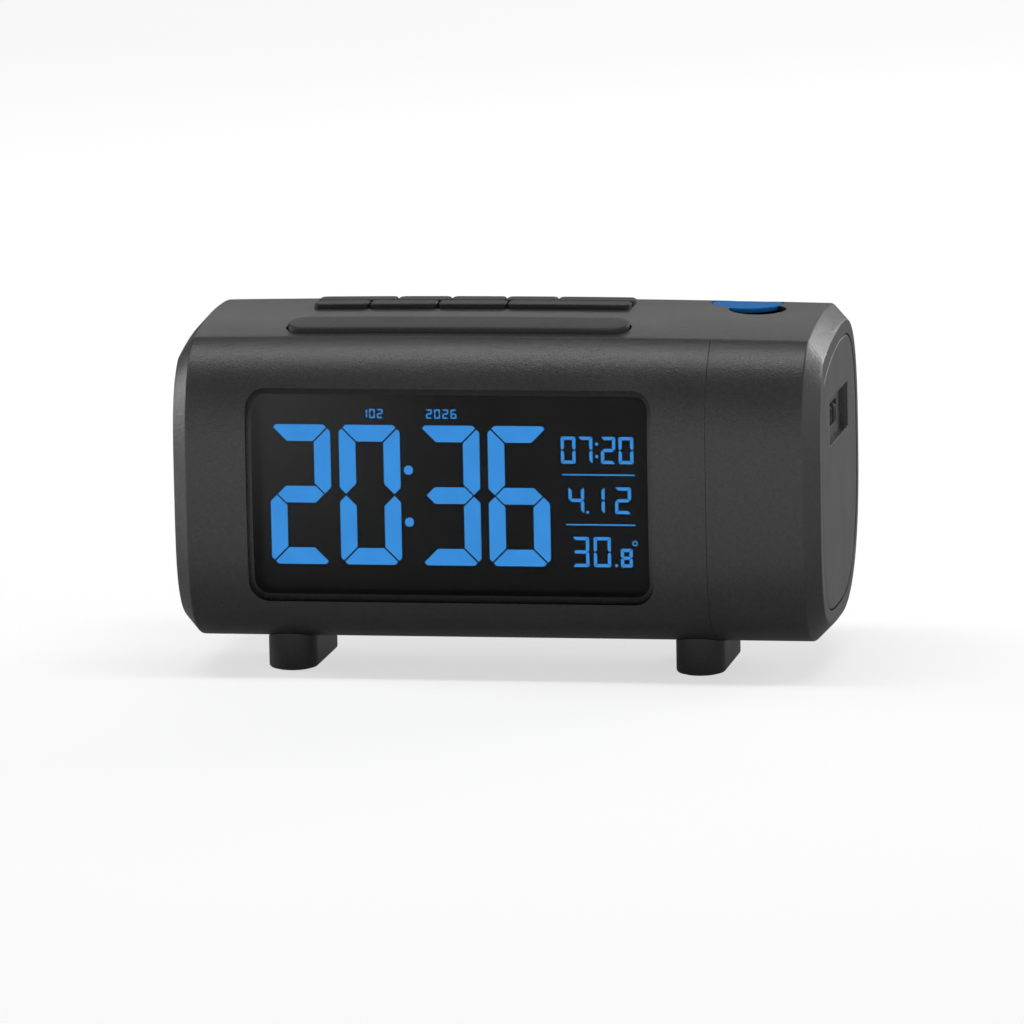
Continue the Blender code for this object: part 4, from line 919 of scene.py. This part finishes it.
def footLoop(x, f, margin=0.0):
    # a round front, straight sides and nearly square back corners
    r = f["width"] / 2 - margin
    back = f["front"] + f["length"] - margin
    angle = math.pi + np.linspace(0, math.pi, 29)
    front = np.array([x, f["front"] + f["width"] / 2]) + r * np.stack([np.cos(angle), np.sin(angle)], 1)
    turn = np.linspace(0, math.pi / 2, 6)
    corner = f["corner"] * np.stack([np.cos(turn), np.sin(turn)], 1)
    right = np.array([x + r - f["corner"], back - f["corner"]]) + corner
    left = np.array([x - r + f["corner"], back - f["corner"]]) + corner[::-1] * np.array([-1, 1])
    side = np.linspace(front[-1, 1], right[0, 1], 12)[1:-1]
    rightSide = np.stack([np.full(len(side), x + r), side], 1)
    leftSide = np.stack([np.full(len(side), x - r), side[::-1]], 1)
    return np.concatenate([front, rightSide, right, left, leftSide])


def makeFoot(name, node, x, f):
    pad = f["pad"]

    def place(a, b, depth):
        return np.stack([a, b, np.broadcast_to(f["low"] + depth, a.shape)], -1)

    def under(a, b):
        return np.stack([a, b, bottomHeight(b) - f["rootGap"]], -1)

    makePlate(name, place, footLoop(x, f), [], f["edge"], 0, "footBlack", "housing", [node],
              under=under, step=2.0)
    outer = offsetLoop(footLoop(x, f, pad["inset"] - pad["gap"]), -pad["gap"])

    def padPlace(a, b, depth):
        return np.stack([a, b, np.broadcast_to(depth, a.shape)], -1)

    makePlate(name + "Pad", padPlace, outer, [], pad["edge"], pad["thick"], "rubberBlack", "housing",
              [node + "_pad"], step=2.5)


makeFoot("leftFoot", "left_foot", feet["x"][0], feet)
makeFoot("rightFoot", "right_foot", feet["x"][1], feet)
print("feet made")

# display

display = {
    "window": {"inset": 1.2, "face": -33.6, "thick": 1.5, "edge": 0.2},
    "front": -31.92,
    "back": -31.84,
    "shift": (-0.37, 0.9),  # the picture lies behind the window, so it sits lower and further left
    "main": {"size": (16.1, 36.8), "stroke": 4.35, "gap": 0.3, "cut": 1.8, "tip": 0.38,
             "digits": (("2", -59.9), ("0", -41.5), ("3", -20.5), ("6", -2.2)), "z": 28.7},
    "dots": (  # middle, height, radius
        (-23.25, 53.7, 1.2), (-23.25, 40.0, 1.2), (26.4, 61.0, 0.42), (26.4, 57.75, 0.42),
        (31.15, 29.15, 0.38), (23.75, 43.1, 0.38),
    ),
    "small": {"stroke": 0.84, "gap": 0.1, "cut": 0.3, "tip": 0.4},
    "smallDigits": (  # digit, left, bottom, width, height
        ("0", 17.0, 55.8, 3.85, 7.1), ("7", 21.5, 55.8, 3.8, 7.1),
        ("2", 27.5, 55.8, 3.8, 7.1), ("0", 32.15, 55.8, 3.85, 7.1),
        ("4", 18.8, 42.7, 4.1, 7.0), ("1", 24.2, 42.7, 4.1, 7.0), ("2", 31.0, 42.7, 4.2, 7.0),
        ("3", 19.6, 28.7, 4.4, 7.9), ("0", 25.2, 28.7, 4.5, 7.9), ("8", 32.3, 28.7, 3.1, 4.9),
    ),
    "lines": ((17.3, 36.2, 52.9), (18.1, 36.2, 39.8)),  # left, right, height
    "lineWidth": 0.34,
    "ring": (36.05, 35.0, 0.72, 0.42),
    "markDigits": (("102", -35.4, 2.05), ("2026", -18.3, 2.15)),  # digits, start, pitch
    "mark": {"low": 67.3, "size": (1.55, 2.4), "stroke": 0.36, "gap": 0.05, "cut": 0.12, "tip": 0.4},
}

lit = {"0": "abcdef", "1": "bc", "2": "abged", "3": "abgcd", "4": "fgbc", "6": "afgedc", "7": "abc",
       "8": "abcdefg"}


def segmentOutline(which, left, low, width, height, stroke, gap, cut, tip):
    # one bar of a seven-bar digit, its ends cut at 45 degrees and its outer corners trimmed
    w, h, t, g = width, height, stroke, gap
    m = h / 2
    q = (cut + g) / 2
    p = (cut - g) / 2
    k = tip * t
    d = g * 0.8
    top = [(cut, h), (w - cut, h), (w - q, h - p), (w - t - g, h - t), (t + g, h - t), (q, h - p)]
    side = [(0, h - cut), (p, h - q), (t, h - t - g), (t, m + d + t - k), (k, m + d), (0, m + d + k)]
    half = t / 2
    middle = [(k + g, m), (k + g + half, m + half), (w - k - g - half, m + half), (w - k - g, m),
              (w - k - g - half, m - half), (k + g + half, m - half)]
    shapes = {
        "a": top, "d": [(x, h - z) for x, z in top], "f": side, "b": [(w - x, z) for x, z in side],
        "e": [(x, h - z) for x, z in side], "c": [(w - x, h - z) for x, z in side], "g": middle,
    }
    return np.array(shapes[which]) + np.array([left, low])


def displayOutlines(d):
    outlines = []

    def addDigit(digit, left, low, size, style):
        cuts = [style[k] for k in ("stroke", "gap", "cut", "tip")]
        for which in lit[digit]:
            outlines.append(segmentOutline(which, left, low, *size, *cuts))

    main, mark = d["main"], d["mark"]
    for digit, left in main["digits"]:
        addDigit(digit, left, main["z"], main["size"], main)
    for digit, left, low, width, height in d["smallDigits"]:
        addDigit(digit, left, low, (width, height), d["small"])
    for x, z, radius in d["dots"]:
        outlines.append(circleLoop((x, z), radius, 32 if radius > 1 else 16))
    for left, right, z in d["lines"]:
        low, high = z - d["lineWidth"] / 2, z + d["lineWidth"] / 2
        outlines.append(np.array([(left, low), (right, low), (right, high), (left, high)]))
    for digits, start, pitch in d["markDigits"]:
        for number, digit in enumerate(digits):
            addDigit(digit, start + number * pitch, mark["low"], mark["size"], mark)
    return outlines


def makeDisplayFigures(d):
    # every lit bar and dot as a very thin prism lying on the display's glass
    points, faces, start = [], [], 0
    shift = np.array(d["shift"])
    for outline in displayOutlines(d):
        outline = outline + shift
        count = len(outline)
        for y in (d["front"], d["back"]):
            points.append(np.stack([outline[:, 0], np.full(count, y), outline[:, 1]], 1))
        near, far = np.arange(start, start + count), np.arange(start + count, start + 2 * count)
        faces += [near.tolist(), far[::-1].tolist()]
        faces += np.stack([near, np.roll(near, -1), np.roll(far, -1), far], 1).tolist()
        start += 2 * count
    x, z, outer, inner = d["ring"]
    loops = [circleLoop((x, z) + shift, r, 32) for r in (outer, inner)]
    rings = []
    for number, depth in ((0, "front"), (1, "front"), (1, "back"), (0, "back")):
        loop = loops[number]
        points.append(np.stack([loop[:, 0], np.full(len(loop), d[depth]), loop[:, 1]], 1))
        rings.append(np.arange(start, start + len(loop)))
        start += len(loop)
    for a, b in zip(rings, rings[1:] + rings[:1]):
        faces += np.stack([a, np.roll(a, -1), np.roll(b, -1), b], 1).tolist()
    return makePiece("displayFigures", np.concatenate(points), faces, "segmentBlue", "housing", (),
                     20)


def makeWindow(d):
    w = d["window"]
    mouth = roundedRectangle(window["middle"], window["size"], window["radius"], step=3.0)
    outer = offsetLoop(mouth, w["inset"])

    def place(a, b, depth):
        return np.stack([a, np.broadcast_to(w["face"] + depth, a.shape), b], -1)

    return makePlate("displayWindow", place, outer, [], w["edge"], w["thick"], "smokedWindow", "housing",
                     ["display_window"], step=12.0, steps=3)


makeDisplayFigures(display)
makeWindow(display)
print("display made")

# keys and snooze bar

keyRows = {
    "gap": 0.5,
    "proud": 1.3,
    "edge": 0.42,
    "depth": 5.2,
    "radius": 1.6,
    "front": {"low": -1.8, "depth": 5.7, "keys": (("key_down", 14.5), ("key_up", 17.8), ("key_alarm", 17.9),
                                                  ("key_light", 32.5))},
    "rear": {"low": 4.4, "depth": 6.3, "keys": (("key_mode", 20.7), ("key_zone", 13.8),
                                                ("key_summer_time", 14.2), ("key_projection", 13.3),
                                                ("key_temperature", 20.2))},
}


def makeCap(name, node, outer, k, step):
    # a cap that stands proud of the body's top and follows its curve; its node is also its body
    def place(a, b, down):
        return np.stack([a, b, topHeight(a, b) + k["proud"] - down], -1)

    return makePlate(name, place, outer, [], k["edge"], k["depth"], "keyBlack", node, [node],
                     step=step, steps=6)


def makeKeys(k):
    for row in ("front", "rear"):
        left = topHoles["keyBlock"]["start"][0]
        r = k[row]
        for node, width in r["keys"]:
            middle = (left + width / 2, r["low"] + r["depth"] / 2)
            outer = roundedRectangle(middle, (width, r["depth"]), k["radius"], arcPoints=8)
            words = node.split("_")
            name = words[0] + "".join(word.capitalize() for word in words[1:])
            makeCap(name, node, outer, k, 1.2)
            left += width + k["gap"]


makeKeys(keyRows)

snoozeBar = {"proud": 1.25, "edge": 0.55, "depth": 4.6}


def makeSnoozeBar(s):
    hole = topHoles["snooze"]
    endRadius = hole["size"][1] / 2 - hole["endFlat"]
    outer = roundedRectangle(hole["middle"], hole["size"], endRadius, arcPoints=16)
    return makeCap("snoozeBar", "snooze_bar", outer, s, 1.6)


makeSnoozeBar(snoozeBar)
print("keys made")

# projector lens and focus wheel

lens = {"middle": (59.4, 13.0), "radius": 9.4, "thick": 1.2, "edge": 0.3, "sunk": 0.05}
barrel = {"outer": 8.0, "inner": 7.1, "bevel": 0.2}
wheel = {
    "bore": 1.6,
    "rim": {"radius": 10.0, "thick": 5.0, "bevel": 0.5, "ease": 0.8, "drop": 0.1},
    "hub": 3.6,
    "gear": {"radius": 6.5, "thick": 4.0, "bevel": 0.2},
    "ribs": (24, 0.7, 8.9),  # count, depth, least radius
    "around": 288,
}


def makeLensCap(c):
    def place(a, b, depth):
        return np.stack([a, b, topHeight(a, b) - c["sunk"] - depth], -1)

    return makePlate("lensCap", place, circleLoop(c["middle"], c["radius"], 96), [], c["edge"], c["thick"],
                     "blueLens", "lens", ["lens_cap"], step=1.2)


def makeBarrel(b):
    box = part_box("lens_barrel")
    low, high = box[0][2] / mm, box[1][2] / mm
    outer, inner, bevel = b["outer"], b["inner"], b["bevel"]
    profile = [(inner, low), (outer - bevel, low), (outer, low + bevel), (outer, high - bevel),
               (outer - bevel, high), (inner, high)]
    return makeTurned("lensBarrel", profile, lens["middle"], "blueBarrel", "lens", ["lens_barrel"])


def makeWheel(w):
    # a ribbed rim below, a plain gear above, both on one hub with a bore
    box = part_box("focus_wheel")
    low, high = box[0][2] / mm, box[1][2] / mm
    x = (box[0][0] + box[1][0]) / 2 / mm
    r, g = w["rim"], w["gear"]
    rim, bevel, rimTop = r["radius"], r["bevel"], low + r["thick"]
    gearLow, gearEdge = high - g["thick"], g["radius"] - g["bevel"]
    profile = [(w["bore"], low), (rim - bevel - r["ease"], low), (rim - bevel, low + r["drop"]),
               (rim, low + bevel + r["drop"]), (rim, rimTop - bevel - r["drop"]),
               (rim - bevel, rimTop - r["drop"]), (rim - bevel - r["ease"], rimTop),
               (w["hub"], rimTop), (w["hub"], gearLow), (gearEdge, gearLow), (g["radius"], gearLow + g["bevel"]),
               (g["radius"], high - g["bevel"]), (gearEdge, high), (w["bore"], high)]
    return makeTurned("focusWheel", profile, (x, 0.0), "keyBlack", "focus_wheel", ["focus_wheel"],
                      around=w["around"], ribs=w["ribs"])


makeLensCap(lens)
makeBarrel(barrel)
makeWheel(wheel)
print("projector pieces made")

# finishes of the CAD nodes that stay

nodeFinishes = {
    "housingBlack": ("cell_tray",),
    "keyBlack": ("switch_knob",),
    "displayBlack": ("lcd_glass", "projection_lcd"),
    "clearPlastic": ("light_guide", "projector_led", "projection_lens", "condenser_lens"),
    "whitePlastic": ("led_strip", "lcd_frame", "focus_ring", "projector_chassis", "cell_sleeve"),
    "boardGreen": ("main_board", "key_board", "projector_board", "power_board"),
    "chipBlack": ("clock_chip", "dc_socket"),
    "greySilicone": ("connector_strip_top", "connector_strip_bottom", "key_mat"),
    "brightSteel": ("wheel_pin", "usb_socket", "switch_body", "coin_cell", "housing_screw_1",
                    "housing_screw_2", "housing_screw_3", "housing_screw_4"),
    "magnetGrey": ("speaker_basket", "speaker_magnet"),
    "conePaper": ("speaker_cone",),
}
for name, nodes in nodeFinishes.items():
    for node in nodes:
        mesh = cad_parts[node].data
        mesh.materials.clear()
        mesh.materials.append(finish[name])
print("CAD nodes finished")
